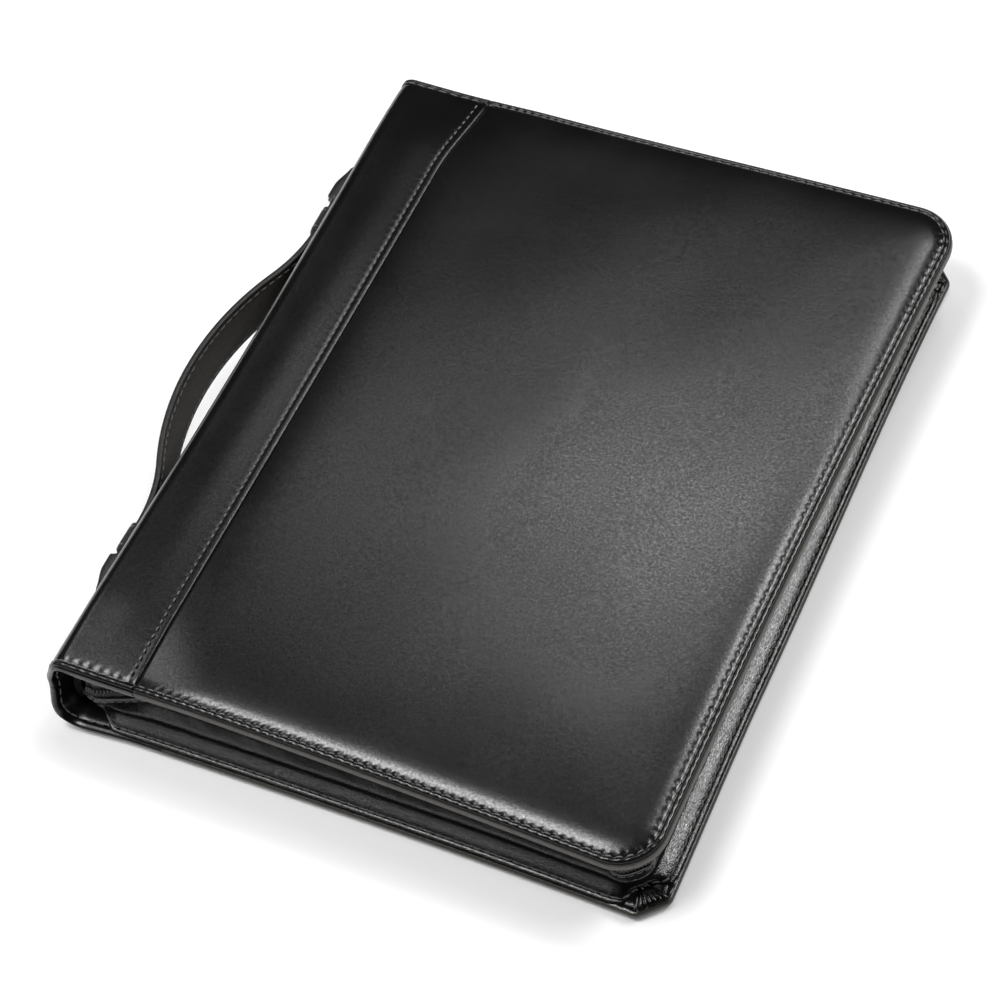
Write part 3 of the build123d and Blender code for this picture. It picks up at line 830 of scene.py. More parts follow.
# ------------------------------------------------------------------ spine wrap
def spine_path():
    """Outer face of the spine leather from the panel's seam, over the back, to the back seam."""
    tan_t, cos_t, sin_t = math.tan(TILT), math.cos(TILT), math.sin(TILT)
    centre_x = SPINE_X + TOP_BEND
    centre_z = TOP - TOP_BEND * tan_t - TOP_BEND / cos_t
    touch = (centre_x - SPINE_X + TOP_BEND * sin_t) / cos_t
    points, inward, thick = [], [], []

    def put(x, z, nx, nz, t):
        points.append((x, z))
        inward.append((nx, nz))
        thick.append(t)

    for u in np.concatenate([[39.0, 38.85, 38.6, 38.2, 37.6], np.arange(37.0, touch, -0.72)]):
        t = WALL_T + (FRONT_T - WALL_T) * float(smooth(8.0, 16.0, u))
        put(SPINE_X + u * cos_t, TOP - u * sin_t, -sin_t, -cos_t, t)
    for angle in np.linspace(math.pi / 2 - TILT, math.pi, 15):
        put(centre_x + TOP_BEND * math.cos(angle), centre_z + TOP_BEND * math.sin(angle),
            -math.cos(angle), -math.sin(angle), WALL_T)
    for z in np.linspace(centre_z, BOTTOM_BEND, 34)[1:-1]:
        put(SPINE_X, z, 1.0, 0.0, WALL_T)
    for angle in np.linspace(math.pi, 1.5 * math.pi, 30):
        put(SPINE_X + BOTTOM_BEND + BOTTOM_BEND * math.cos(angle),
            BOTTOM_BEND + BOTTOM_BEND * math.sin(angle), -math.cos(angle), -math.sin(angle),
            WALL_T + (BACK_T - WALL_T) * float(smooth(1.25, 1.5, angle / math.pi)))
    bottom = SPINE_X + BOTTOM_BEND
    for x in np.concatenate([np.arange(bottom + 0.8, BACK_SEAM - 2.0, 0.8),
                             BACK_SEAM + np.array([-1.4, -0.8, -0.4, -0.15, 0.0])]):
        put(x, 0.0, 0.0, 1.0, BACK_T)
    return np.array(points), np.array(inward), np.array(thick)


def flare(points):
    """The ends of the spine stand out a little where the leather is not held by the rings' plate."""
    points = np.array(points, float)
    x, y, z = points[..., 0], points[..., 1], points[..., 2]
    near = np.where(y < 0, 1.0, 0.45)
    end = smooth(HALF - 30, HALF + 1, np.abs(y)) * near
    at_spine = 1 - smooth(SPINE_X + 6, SPINE_X + 34, x)
    belly = (1 - smooth(27, 46, z)) * smooth(-7, 8, z)
    points[..., 0] -= 5.6 * end * at_spine * belly
    points[..., 1] += np.sign(y) * 1.4 * end * (1 - smooth(14, 40, z)) * at_spine
    return settle(points)


# The two folds: where the spine's leather bends between the bodies.
TOP_FOLD = fold(
    "front_cover", "spine", (SPINE_X + TOP_BEND + 1, 0, TOP - 1), (SPINE_X, 0, TOP - TOP_BEND - 1),
)
BOTTOM_FOLD = fold(
    "spine", "back_cover", (SPINE_X, 0, BOTTOM_BEND + 1), (SPINE_X + BOTTOM_BEND + 1, 0, 1),
)


def spine_wrap():
    """The leather that wraps the spine, in two pieces split on the spine's wall."""
    path, inward, thick = spine_path()
    steps = np.linalg.norm(np.diff(path, axis=0), axis=1)
    run = np.concatenate([[0], np.cumsum(steps)])
    pitch = fit_pitch(run[-1] - SEAM_PITCH, STITCH_PITCH)
    gather = pucker(run, pitch, 21)
    hole = 0.5 - 0.5 * np.cos(TWO_PI * run / pitch)
    middle = np.arange(-HALF + 21.5, HALF - 21.4, 1.3)
    pads = PAD_INSETS
    y_side = np.concatenate([pads, EDGE_INSETS])
    depths = edge_depths(thick).T
    turned_start = 1.15 * (1 - smooth(0.0, 1.3, run)) ** 2
    turned_end = 1.15 * (1 - smooth(0.0, 1.3, run[-1] - run)) ** 2
    turned = turned_start + turned_end
    from_end = np.minimum(run, run[-1] - run)
    groove = 0.22 * hump(4.0, 0.6, run) + 0.20 * hump(4.0, 0.6, run[-1] - run)
    belly = 0.45 * hump(17.0, 9.0, run)
    seam_run = middle - middle[0]
    seam_pitch = fit_pitch(seam_run[-1], SEAM_PITCH)
    seam_gather = pucker(seam_run, seam_pitch, 23)
    live = smooth(4.0, 8.0, from_end)
    rings = []
    for k in range(len(path)):
        along = groove[k] - belly[k] * (1 - (middle / HALF) ** 6)
        gathers = 0.07 * hump(6.0, 1.2, from_end[k]) + 0.05 * hump(2.4, 0.8, from_end[k])
        along = along - seam_gather * gathers
        away = pads - STITCH_INSET
        pad = 0.42 * np.exp(-away / 1.4) + 0.55 * np.exp(-away / 6.5)
        pad = pad + groove[k] - belly[k] * (1 - (1 - pads / HALF) ** 6)
        pad = pad - gather[k] * live[k] * 0.09 * hump(STITCH_INSET + 1.6, 1.4, pads)
        edge = depths[k].copy()
        lip_insets = EDGE_INSETS[ON_FACE]
        edge[ON_FACE] -= 0.07 * gather[k] * live[k] * hump(2.4, 0.8, lip_insets)
        edge[ON_FACE] += 0.2 * (1 - hole[k]) * live[k] * hump(STITCH_INSET - 0.15, 0.4, lip_insets)
        side = np.concatenate([pad, edge])
        sink = np.where(side < EDGE_TURN, turned[k], 0.0)
        head = np.stack([HALF - y_side, side + sink], 1)
        tray = np.array([
            [HALF - EDGE_INSETS[-1], thick[k] - 0.02],
            [HALF - TRAY, thick[k] - 0.05], [HALF - TRAY, 1.45],
        ])
        mirror = np.array([-1.0, 1.0])
        loop = np.concatenate([
            np.stack([middle, along + turned[k]], 1), head, tray, [[0.0, 1.45]],
            tray[::-1] * mirror, head[::-1] * mirror,
        ])
        x = path[k, 0] + inward[k, 0] * loop[:, 1]
        z = path[k, 1] + inward[k, 1] * loop[:, 1]
        rings.append(np.stack([x, loop[:, 0], z], 1))
    rings = flare(np.stack(rings))
    on_wall = path[:, 0] <= SPINE_X + 0.1
    split = int(np.argmin(np.abs(path[:, 1] - (TOP + BOTTOM_BEND) / 2.6) + 100 * ~on_wall))
    for name, part, bend, hides in (
        ("spine_wrap_top", rings[: split + 1], TOP_FOLD, ("spine_leather_front", "spine_leather")),
        ("spine_wrap_bottom", rings[split:], BOTTOM_FOLD, ("spine_leather_back",)),
    ):
        piece(
            name, part.reshape(-1, 3), tube_faces(*part.shape[:2]), SPINE_LEATHER, bend,
            "spine_leather", hides,
        )

    # Stitches: the two seams, and the rows round both ends.
    def place(s, y, depth):
        x = np.interp(s, run, path[:, 0]) + np.interp(s, run, inward[:, 0]) * depth
        z = np.interp(s, run, path[:, 1]) + np.interp(s, run, inward[:, 1]) * depth
        return flare(np.stack([x, y + 0 * s, z], -1))

    count = int(round((2 * HALF - 12) / SEAM_PITCH))
    y = (np.arange(count) + 0.5) * (2 * HALF - 12) / count - HALF + 6
    ends = []
    turn = np.arange(6.5, run[-1] - 6.0, pitch)
    seams = []
    for s, body in ((4.0, "front_cover"), (run[-1] - 4.0, "back_cover")):
        s = np.full(len(y), s)
        along = place(s, y + 1, 0.0) - place(s, y - 1, 0.0)
        up = place(s, y, -1.0) - place(s, y, 0.0)
        seams.append((body, thread(place(s, y, -0.30), along, up, SEAM_PITCH * 0.55, 0.42)))
    for side in (-1, 1):
        at_y = np.full(len(turn), side * (HALF - STITCH_INSET))
        for depth, lift in ((0.62, -1.0), (None, 1.0)):
            d = np.interp(turn, run, thick) - 0.08 if depth is None else depth
            centre = place(turn, at_y, d)
            along = place(turn + 0.5, at_y, d) - place(turn - 0.5, at_y, d)
            ends.append(thread(centre, along, place(turn, at_y, d + lift) - centre, pitch * 0.8, 0.34))
    size = len(ends[0][0]) // len(turn)
    copies = np.concatenate([points for points, _ in ends]).reshape(-1, size, 3)
    stitch_faces = ends[0][1][: len(ends[0][1]) // len(turn)]
    upper = copies.mean(1)[:, 2] > path[split, 1]
    for name, mask, bend in (
        ("spine_end_stitches_top", upper, TOP_FOLD), ("spine_end_stitches_bottom", ~upper, BOTTOM_FOLD),
    ):
        piece(name, *repeated(copies[mask], stitch_faces), THREAD, bend, "spine_leather")
    for name, (body, mesh) in zip(("front_seam_stitches", "back_seam_stitches"), seams):
        piece(name, *mesh, THREAD, body, "spine_leather")


# ------------------------------------------------------------------ gussets and zip
CORNER_R = 26.0
START_X = box_mm("lower_gusset")[0][0]
CURL_R = 16.0


def around_path():
    """The case's edge in plan from the foot's spine end to the head's, and the outward direction."""
    points, out = [], []

    def arc(cx, cy, radius, start, stop, step=0.7):
        for angle in np.linspace(start, stop, max(3, int(radius * abs(stop - start) / step))):
            points.append((cx + radius * math.cos(angle), cy + radius * math.sin(angle)))
            out.append((math.cos(angle), math.sin(angle)))

    quarter = math.pi / 2
    arc(START_X, -HALF + CURL_R, CURL_R, -2 * quarter, -quarter)
    arc(OPEN_X - CORNER_R, -HALF + CORNER_R, CORNER_R, -quarter, 0)
    arc(OPEN_X - CORNER_R, HALF - CORNER_R, CORNER_R, 0, quarter)
    arc(START_X, HALF - CURL_R, CURL_R, quarter, 2 * quarter)
    points, out = np.array(points), np.array(out)
    steps = np.linalg.norm(np.diff(points, axis=0), axis=1)
    return points, out, np.concatenate([[0], np.cumsum(steps)])


AROUND, AROUND_OUT, AROUND_RUN = around_path()


def around(s):
    """Place and outward direction at a distance along the case's edge."""
    place = np.stack([np.interp(s, AROUND_RUN, AROUND[:, k]) for k in (0, 1)], -1)
    out = unit(np.stack([np.interp(s, AROUND_RUN, AROUND_OUT[:, k]) for k in (0, 1)], -1))
    return place, out


CURL_LENGTH = CURL_R * math.pi / 2
ALL_ROUND = AROUND_RUN[-1]


def cover_under(x):
    """Height of the front cover's lining side above the table at x."""
    return TOP - (x - SPINE_X) * math.tan(TILT) - FRONT_T / math.cos(TILT)


def band(s, inset, z):
    """A point of the soft wall between the covers, which bulges and droops by the spine's foot end."""
    s, inset, z = np.broadcast_arrays(*(np.asarray(a, float) for a in (s, inset, z)))
    place, out = around(s)
    x = place[..., 0]
    under = cover_under(x)
    below, above = (z - BACK_T) / (CHAIN_Z - BACK_T), (under - z) / (under - CHAIN_Z)
    rise = smooth(-0.1, 0.95, np.where(z <= CHAIN_Z, below, above))
    foot = smooth(0.5, 0.95, -out[..., 1]) + (s < CURL_LENGTH + 1)
    droop = (1 - smooth(10, 46, x - SPINE_X)) * np.clip(foot, 0, 1)
    corner = smooth(-0.12, 0.5, out[..., 0]) * smooth(0.1, 0.6, -out[..., 1])
    far_corner = smooth(0.35, 0.75, out[..., 0]) * smooth(0.35, 0.75, out[..., 1])
    quiet = 1 - smooth(0.5, 0.9, out[..., 1])
    slack = 0.7 * waves(s, z * 0, 70.0, 31) + 0.25 * waves(s, z * 1.5, 14.0, 32)
    reach = rise * (5.0 * droop + 7.4 * corner + 2.0 * far_corner + slack * quiet)
    base = place - out * (inset - reach)[..., None]
    return settle(np.stack([base[..., 0], base[..., 1], z - rise * 5.5 * droop], -1))


def sheet_normal(grid):
    """Outward direction at each point of a wall's grid."""
    return unit(np.cross(np.gradient(grid, axis=0), np.gradient(grid, axis=1)))


def gusset_shell(name, body, starts, profile, thickness, hides, pleat_at, seed):
    """A leather wall from a profile of (inset, height or a function of x) run round the case."""
    s = np.arange(starts, ALL_ROUND - starts + 0.4, 0.8)
    place, out = around(s)
    gather = pucker(s, SEAM_PITCH, seed)
    outer = []
    curl = 1 - smooth(CURL_LENGTH - 1, CURL_LENGTH + 9, np.minimum(s, ALL_ROUND - s))
    turned = smooth(0.30, 0.62, np.minimum(out[:, 0], np.abs(out[:, 1]))) * (thickness > 1.1)
    for k, (inset, height) in enumerate(profile):
        z = height(place[:, 0]) if callable(height) else np.full(len(s), height)
        nearness = 0.6 * sum(hump(at, 0.9, k) for at in pleat_at)
        inset = inset + (np.maximum(inset, 7.6) - inset) * turned
        inset = inset + (np.maximum(inset, 9.6) - inset) * curl
        z = z + (np.maximum(z, 9.0 + 0.25 * k) - z) * curl
        outer.append(band(s, inset - 0.16 * gather * nearness, z))
    outer = np.stack(outer, 1)
    normal = sheet_normal(outer)
    points, faces = closed_sheet(outer, outer - normal * thickness, thickness * 0.45)
    piece(name, points, faces, GUSSET_LEATHER, body, "gusset_leather", hides)
    return s, outer, normal


def walls():
    """Lower and upper gussets, their stitching, the zip tapes and the coil."""
    edge = float(box_mm("lower_gusset")[1][2])
    foot = [
        (0.85, 4.80), (1.3, 5.25), (2.0, 5.66), (2.8, 6.02), (3.3, 5.98), (3.7, 5.80), (4.1, 6.02),
        (4.7, 6.46), (6.0, 7.06), (7.4, 7.70), (8.7, 8.32), (9.9, 9.0), (10.7, 10.2), (11.1, 12.0),
        (11.1, 14.2), (10.9, 16.4), (10.4, 18.7), (9.6, 21.0), (9.2, 22.3), (9.05, 23.2), (9.0, 24.0),
        (9.15, edge),
    ]
    s, outer, normal = gusset_shell(
        "lower_gusset_wall", "back_cover", 3.0, foot, 1.15,
        ("lower_gusset", "gusset_end_foot", "gusset_end_head"), (3.2, 7), 41,
    )
    inside = (s > CURL_LENGTH + 2) & (s < ALL_ROUND - CURL_LENGTH - 2)
    lines = [
        stitch_line(outer[inside, 5], normal[inside, 5], STITCH_PITCH, 0.42),
        stitch_line(outer[:, 18], normal[:, 18], SEAM_PITCH, 0.3),
    ]
    joined("lower_gusset_stitches", lines, THREAD, "back_cover", "gusset_leather")

    low = float(box_mm("upper_gusset")[0][2])

    def share(t):
        return lambda x: low + (cover_under(x) - low) * t

    head = [(9.15, low)] + [(inset, share(t)) for inset, t in (
        (9.0, 0.06), (9.0, 0.14), (9.05, 0.24), (9.3, 0.4), (9.8, 0.58),
        (10.1, 0.74), (10.0, 0.88), (9.3, 0.985), (7.6, 1.01),
    )]
    s, outer, normal = gusset_shell(
        "upper_gusset_wall", "front_cover", CURL_LENGTH - 5.0, head, 1.0, ("upper_gusset",), (2,), 43,
    )
    lines = [stitch_line(outer[:, 2], normal[:, 2], SEAM_PITCH, 0.3)]
    joined("upper_gusset_stitches", lines, THREAD, "front_cover", "gusset_leather")

    start, stop = CURL_LENGTH - 6.0, ALL_ROUND - CURL_LENGTH + 6.0
    s = np.arange(start, stop, 1.6)
    for name, body, levels, hides in (
        ("zip_tape_low", "back_cover", (19.6, 22.0, 24.5, 26.0, CHAIN_Z - 0.95), "zip_tape_lower"),
        ("zip_tape_high", "front_cover", (CHAIN_Z + 0.95, 30.0, 31.5, 33.0, 34.5), "zip_tape_upper"),
    ):
        outer = np.stack([band(s, 10.2, z) for z in levels], 1)
        points, faces = closed_sheet(outer, outer - sheet_normal(outer) * 0.6, 0.2)
        piece(name, points, faces, TAPE, body, "zip_tape", (hides,))
    pitch = 1.62
    count = int((stop - start - 2) / pitch)
    for name, body, sign, offset, hides in (
        ("zip_coil_low", "back_cover", -1.0, 0.0, "zip_teeth_lower"),
        ("zip_coil_high", "front_cover", 1.0, 0.5, "zip_teeth_upper"),
    ):
        where = start + 1.0 + (np.arange(count) + offset) * pitch
        stations = np.array([1.95, 1.7, 1.1, 0.55, 0.1, -0.22])
        girth = np.array([0.30, 0.42, 0.44, 0.50, 0.56, 0.34])
        middle = np.stack([band(where, 9.55, CHAIN_Z + sign * z) for z in stations], 1)
        ahead = band(where + 0.3, 9.55, CHAIN_Z) - band(where - 0.3, 9.55, CHAIN_Z)
        ahead = unit(ahead)[:, None]
        up = unit(middle[:, :1] - middle[:, -1:]) * -sign
        side = np.cross(ahead, up)
        angle = np.arange(7) * TWO_PI / 7
        ring = (
            ahead[:, :, None] * 0.88 * np.cos(angle)[None, None, :, None]
            + side[:, :, None] * 1.15 * np.sin(angle)[None, None, :, None]
        )
        points = middle[:, :, None] + ring * girth[None, :, None, None]
        points, faces = repeated(points.reshape(count, -1, 3), tube_faces(len(stations), 7))
        fine, cord_z = np.arange(start + 1, stop - 1, 0.8), CHAIN_Z + sign * 1.35
        line = band(fine, 9.35, cord_z)
        out = unit(line - band(fine, 10.35, cord_z))
        meshes = [(points, faces), stitch_line(line, out, pitch, 0.16, 0.9)]
        joined(name, meshes, TEETH, body, "zip_teeth", (hides,))


# ------------------------------------------------------------------ handle
STRAP_LINE = -138.4
STRAP_CROWN = -158.0
STRAP_MIDDLE = -6.0
CROWN_R, SWEEP_R, HALF_SPAN = 120.0, 69.8, 84.0


def strap_line(d):
    """Centre line of the strap: x at a distance d along Y from its middle."""
    crown = STRAP_CROWN + CROWN_R - np.sqrt(np.maximum(CROWN_R**2 - d**2, 1))
    sweep = STRAP_LINE - SWEEP_R + np.sqrt(np.maximum(SWEEP_R**2 - (d - HALF_SPAN) ** 2, 1))
    return np.where(d < 53.2, crown, np.where(d < HALF_SPAN, sweep, STRAP_LINE))


def keeper(name):
    """A loop of leather, sewn to the spine, that the strap slides through."""
    node = f"strap_keeper_{name}"
    (kx, ky0, kz0), (_, ky1, kz1) = box_mm(node)
    kx = kx - 1.6
    low_turn = np.radians([246.0, 238.0, 230.0])
    on_bend = np.stack([
        SPINE_X + BOTTOM_BEND + (BOTTOM_BEND + 0.9) * np.cos(low_turn),
        BOTTOM_BEND + (BOTTOM_BEND + 0.9) * np.sin(low_turn),
    ], 1)
    route = np.concatenate([on_bend, [
        [SPINE_X + 1.2, kz0 - 0.4], [SPINE_X - 2.3, kz0 + 0.2],
        [kx + 1.0, kz0 + 1.0], [kx + 0.25, kz0 + 2.4], [kx, kz0 + 4.5], [kx - 0.15, (kz0 + kz1) / 2],
        [kx, kz1 - 4.5], [kx + 0.25, kz1 - 2.6], [kx + 1.0, kz1 - 1.3], [SPINE_X - 2.3, kz1 - 0.2],
        [SPINE_X - 1.0, kz1 + 0.8], [SPINE_X - 0.75, kz1 + 1.8], [SPINE_X - 0.55, kz1 + 3.4],
    ]])
    steps = np.concatenate([[0], np.cumsum(np.linalg.norm(np.diff(route, axis=0), axis=1))])
    rows, columns = 60, 15
    t = np.linspace(0, steps[-1], rows)
    route = np.stack([np.interp(t, steps, route[:, k]) for k in (0, 1)], 1)
    for _ in range(3):
        route[1:-1] = (route[:-2] + 2 * route[1:-1] + route[2:]) / 4
    y = np.linspace(ky0 + 0.4, ky1 - 0.4, columns)
    tangent = unit(np.gradient(route, axis=0))
    out = np.stack([-tangent[:, 1], tangent[:, 0]], 1)
    edge = np.minimum(y - ky0, ky1 - y)
    crown = 0.22 * smooth(0, 3.0, edge) - 0.22 * hump(2.4, 0.6, edge)

    def place(w):
        x, z = (route[:, None, k] + out[:, None, k] * w[None] for k in (0, 1))
        return settle(np.stack([x, np.broadcast_to(y[None], (rows, columns)), z], -1))

    outer = place(crown)
    points, faces = closed_sheet(outer, place(0 * y - 1.15), 0.45)
    piece(f"keeper_{name}_loop", points, faces, STRAP_LEATHER, "spine", "strap_leather", (node,))
    facing = np.stack([out[:, 0], 0 * t, out[:, 1]], 1)
    lines = [stitch_line(outer[6:-6, k], facing[6:-6], 3.4, 0.3) for k in (2, 12)]
    joined(f"keeper_{name}_stitches", lines, THREAD, "spine", "strap_leather")


def handle():
    """The strap in two halves that pass through their keepers."""
    low, high = box_mm("handle_grip")
    z0, z1 = low[2], high[2]
    width = z1 - z0
    stop_end = 120.5
    face = np.array([0.0, 0.35, 1.1, 2.2, 3.0, 3.8, 5.5, 9.0, 14.0])
    rise = np.array([-0.75, -0.32, -0.08, 0.02, -0.22, 0.06, 0.16, 0.26, 0.30])
    across = np.concatenate([face, width - face[::-1][1:]])
    height = np.concatenate([rise, rise[::-1][1:]])
    for name, sign, body in (("foot", -1.0, "strap_foot"), ("head", 1.0, "strap_head")):
        bend = fold(
            "grip", body, (0, STRAP_MIDDLE + sign * 5, 0), (0, STRAP_MIDDLE + sign * 72, 0),
        )
        d = np.concatenate([
            [-1.2], np.arange(0, 100.0, 1.3), [100.3, 100.6, 101.0, 101.8],
            np.arange(103.0, 118.6, 1.3), [119.3, 119.9, 120.3, stop_end],
        ])
        x = strap_line(np.abs(d))
        slope = np.gradient(x, d)
        slope[:2] = 0.0
        tangent = unit(np.stack([slope, np.ones(len(d))], 1))
        normal = np.stack([-tangent[:, 1], tangent[:, 0]], 1)
        back = np.full(len(d), 1.5)
        front = 1.5 + smooth(100.4, 101.9, d) * (3.0 - 3.0 * smooth(108, stop_end, d))
        shrink = smooth(118.8, stop_end, d) ** 2 + 0.06 * (d < 0)
        back, front = back * (1 - 0.6 * shrink), front * (1 - 0.6 * shrink)
        gather = np.cos(TWO_PI * d / STITCH_PITCH)[:, None]
        seam = (hump(3.0, 0.8, across) + hump(width - 3.0, 0.8, across))[None]
        outer_w = front[:, None] + height[None] * 0.9 + 0.05 * gather * seam
        inner_w = -(back[:, None] + height[None] * 0.5 + 0.05 * gather * seam)
        w = np.concatenate([outer_w, inner_w[:, ::-1]], 1)
        narrow = 5.0 * (1 - smooth(58, 84, d)) + 0.2 * (d < 0)
        level = np.concatenate([across, across[::-1]]) / width
        z = (z1 - 0.1 * (d < 0))[:, None] - (1 - level)[None] * (width - narrow)[:, None]
        px = x[:, None] + normal[:, :1] * w
        py = STRAP_MIDDLE + sign * (d[:, None] + normal[:, 1:] * w)
        rings = np.stack([px, py, z], -1)
        raw = smooth(2.0, 3.4, across) * smooth(2.0, 3.4, width - across)
        raw_side_and_reflection = np.tile(np.concatenate([0 * raw, 0.9 * raw[::-1]]), (len(d), 1))
        hides = [f"handle_leg_{name}", f"strap_end_{name}", f"strap_stop_{name}"]
        piece(
            f"strap_{name}_leather", rings.reshape(-1, 3), tube_faces(*rings.shape[:2]), STRAP_LEATHER,
            bend, "strap_leather", hides + (["handle_grip"] if sign < 0 else []), raw_side_and_reflection,
        )
        meshes = []
        wide = len(across)
        for column, side in ((4, 1), (wide - 5, 1), (wide + 4, -1), (2 * wide - 5, -1)):
            line = rings[:, column]
            facing = np.stack([normal[:, 0] * side, sign * normal[:, 1] * side, 0 * d], 1)
            meshes.append(stitch_line(line[2:-4], facing[2:-4], STITCH_PITCH, 0.34))
        for turn in (103.0, 106.5):
            k = int(np.argmin(np.abs(d - turn)))
            line = rings[k, 3: wide - 3]
            facing = np.tile([normal[k, 0], sign * normal[k, 1], 0], (len(line), 1))
            meshes.append(stitch_line(line, facing, 3.4, 0.34))
        joined(f"strap_{name}_stitches", meshes, THREAD, bend, "strap_leather")
        keeper(name)


# ------------------------------------------------------------------ inside
def inner_front(u, v, depth):
    """A place on the front cover's inner side."""
    return settle(cover_points(u, v, -np.asarray(depth, float)))


def inner_back(x, y, depth):
    """A place on the back cover's inner side, depth above the table."""
    x, y, depth = np.broadcast_arrays(*(np.asarray(a, float) for a in (x, y, depth)))
    return settle(np.stack([x, y, depth], -1))


POCKET_CLOSED = (True, True, True, False)


def soft_patch(name, body, place, area, depth, thickness, swell, closed=POCKET_CLOSED,
               material=POCKET_LEATHER, slot="pocket_leather", hides=(), stitch=True):
    """A sewn-on panel of leather or cloth, puffed between its stitched sides. closed says which of its
    low-u, high-u, low-v and high-v sides are stitched down."""
    u0, u1, v0, v1 = area
    bevel = np.array([0.0, 0.35, 0.9, 1.7, 2.4, 3.1, 4.2, 6.5])

    def lay(low, high):
        rim = bevel[-1]
        count = max(3, int((high - low - 2 * rim) / 2.2))
        middle = np.linspace(low + rim, high - rim, count)[1:-1]
        return np.concatenate([low + bevel, middle, high - bevel[::-1]])

    u, v = np.meshgrid(lay(u0, u1), lay(v0, v1), indexing="ij")
    sides = (u - u0, u1 - u, v - v0, v1 - v)
    nearest = np.minimum.reduce(sides)
    sewn = np.minimum.reduce([side for side, shut in zip(sides, closed) if shut])
    gather = np.cos(TWO_PI * (u + v) / SEAM_PITCH)
    puff = swell * smooth(2.0, 26.0, sewn) - 0.22 * hump(2.4, 0.6, sewn) * (1 - 0.3 * gather)
    puff = puff + 0.12 * hump(4.2, 1.4, sewn) * (1 - gather)
    puff = puff + 0.18 * waves(u, v, 60.0, 51) * smooth(6, 20, nearest)
    lip = 0.35 * (1 - smooth(0, 0.9, nearest))
    top = place(u, v, depth + thickness + puff - lip)
    floor = place(u, v, np.full(u.shape, depth - 0.1))
    points, faces = closed_sheet(top, floor, 0.3)
    piece(name, points, faces, material, body, slot, hides)
    if not stitch:
        return
    meshes = []
    gap, count = 2.4, 40
    across, along = (u0 + 2, u1 - 2), (v0 + 2, v1 - 2)
    for shut, ends_u, ends_v in zip(
        closed, ((u0 + gap,) * 2, (u1 - gap,) * 2, across, across),
        (along, along, (v0 + gap,) * 2, (v1 - gap,) * 2),
    ):
        share = np.linspace(0, 1, count)
        line_u, line_v = (low + (high - low) * share for low, high in (ends_u, ends_v))
        level = depth + thickness - (0.12 if shut else -0.12)
        line = place(line_u, line_v, np.full(count, level))
        facing = place(line_u, line_v, np.full(count, level + 1)) - line
        meshes.append(stitch_line(line, facing, SEAM_PITCH, 0.3))
    joined(f"{name}_stitches", meshes, THREAD, body, slot)


def cut_sheet(name, body, place, corners, radii, floor, top, hides, material=LINING, slot="lining"):
    """A lining or board cut to a cover's shape, faintly rippled, with its edge turned in."""
    outline = Outline(corners, radii, 2.0)
    rings = []
    for inset, depth in (
        (1.2, floor), (0.1, floor + 0.1), (0.0, top - 0.5), (0.25, top - 0.15), (0.8, top - 0.03),
    ):
        loop = outline.loop(inset)
        rings.append(place(loop[:, 0], loop[:, 1], depth))
    for inset in (1.6, 3.0, 5.0, 8.0, 12.0, 17.0):
        loop = outline.loop(inset)
        ripple = 0.10 * waves(loop[:, 0], loop[:, 1], 38.0, 71) * smooth(1, 8, inset)
        rings.append(place(loop[:, 0], loop[:, 1], top + np.minimum(ripple, 0.09)))
    inner = outline.loop(17.0)
    line = middle_line(outline, inner)
    for share in np.linspace(0.08, 0.97, 16):
        flat = inner + (line - inner) * share
        ripple = 0.10 * waves(flat[:, 0], flat[:, 1], 38.0, 71)
        rings.append(place(flat[:, 0], flat[:, 1], top + np.minimum(ripple, 0.09)))
    rings = np.stack(rings)
    piece(
        name, rings.reshape(-1, 3), capped_faces(*rings.shape[:2]), material, body, slot, (hides,),
        round_caps=True,
    )


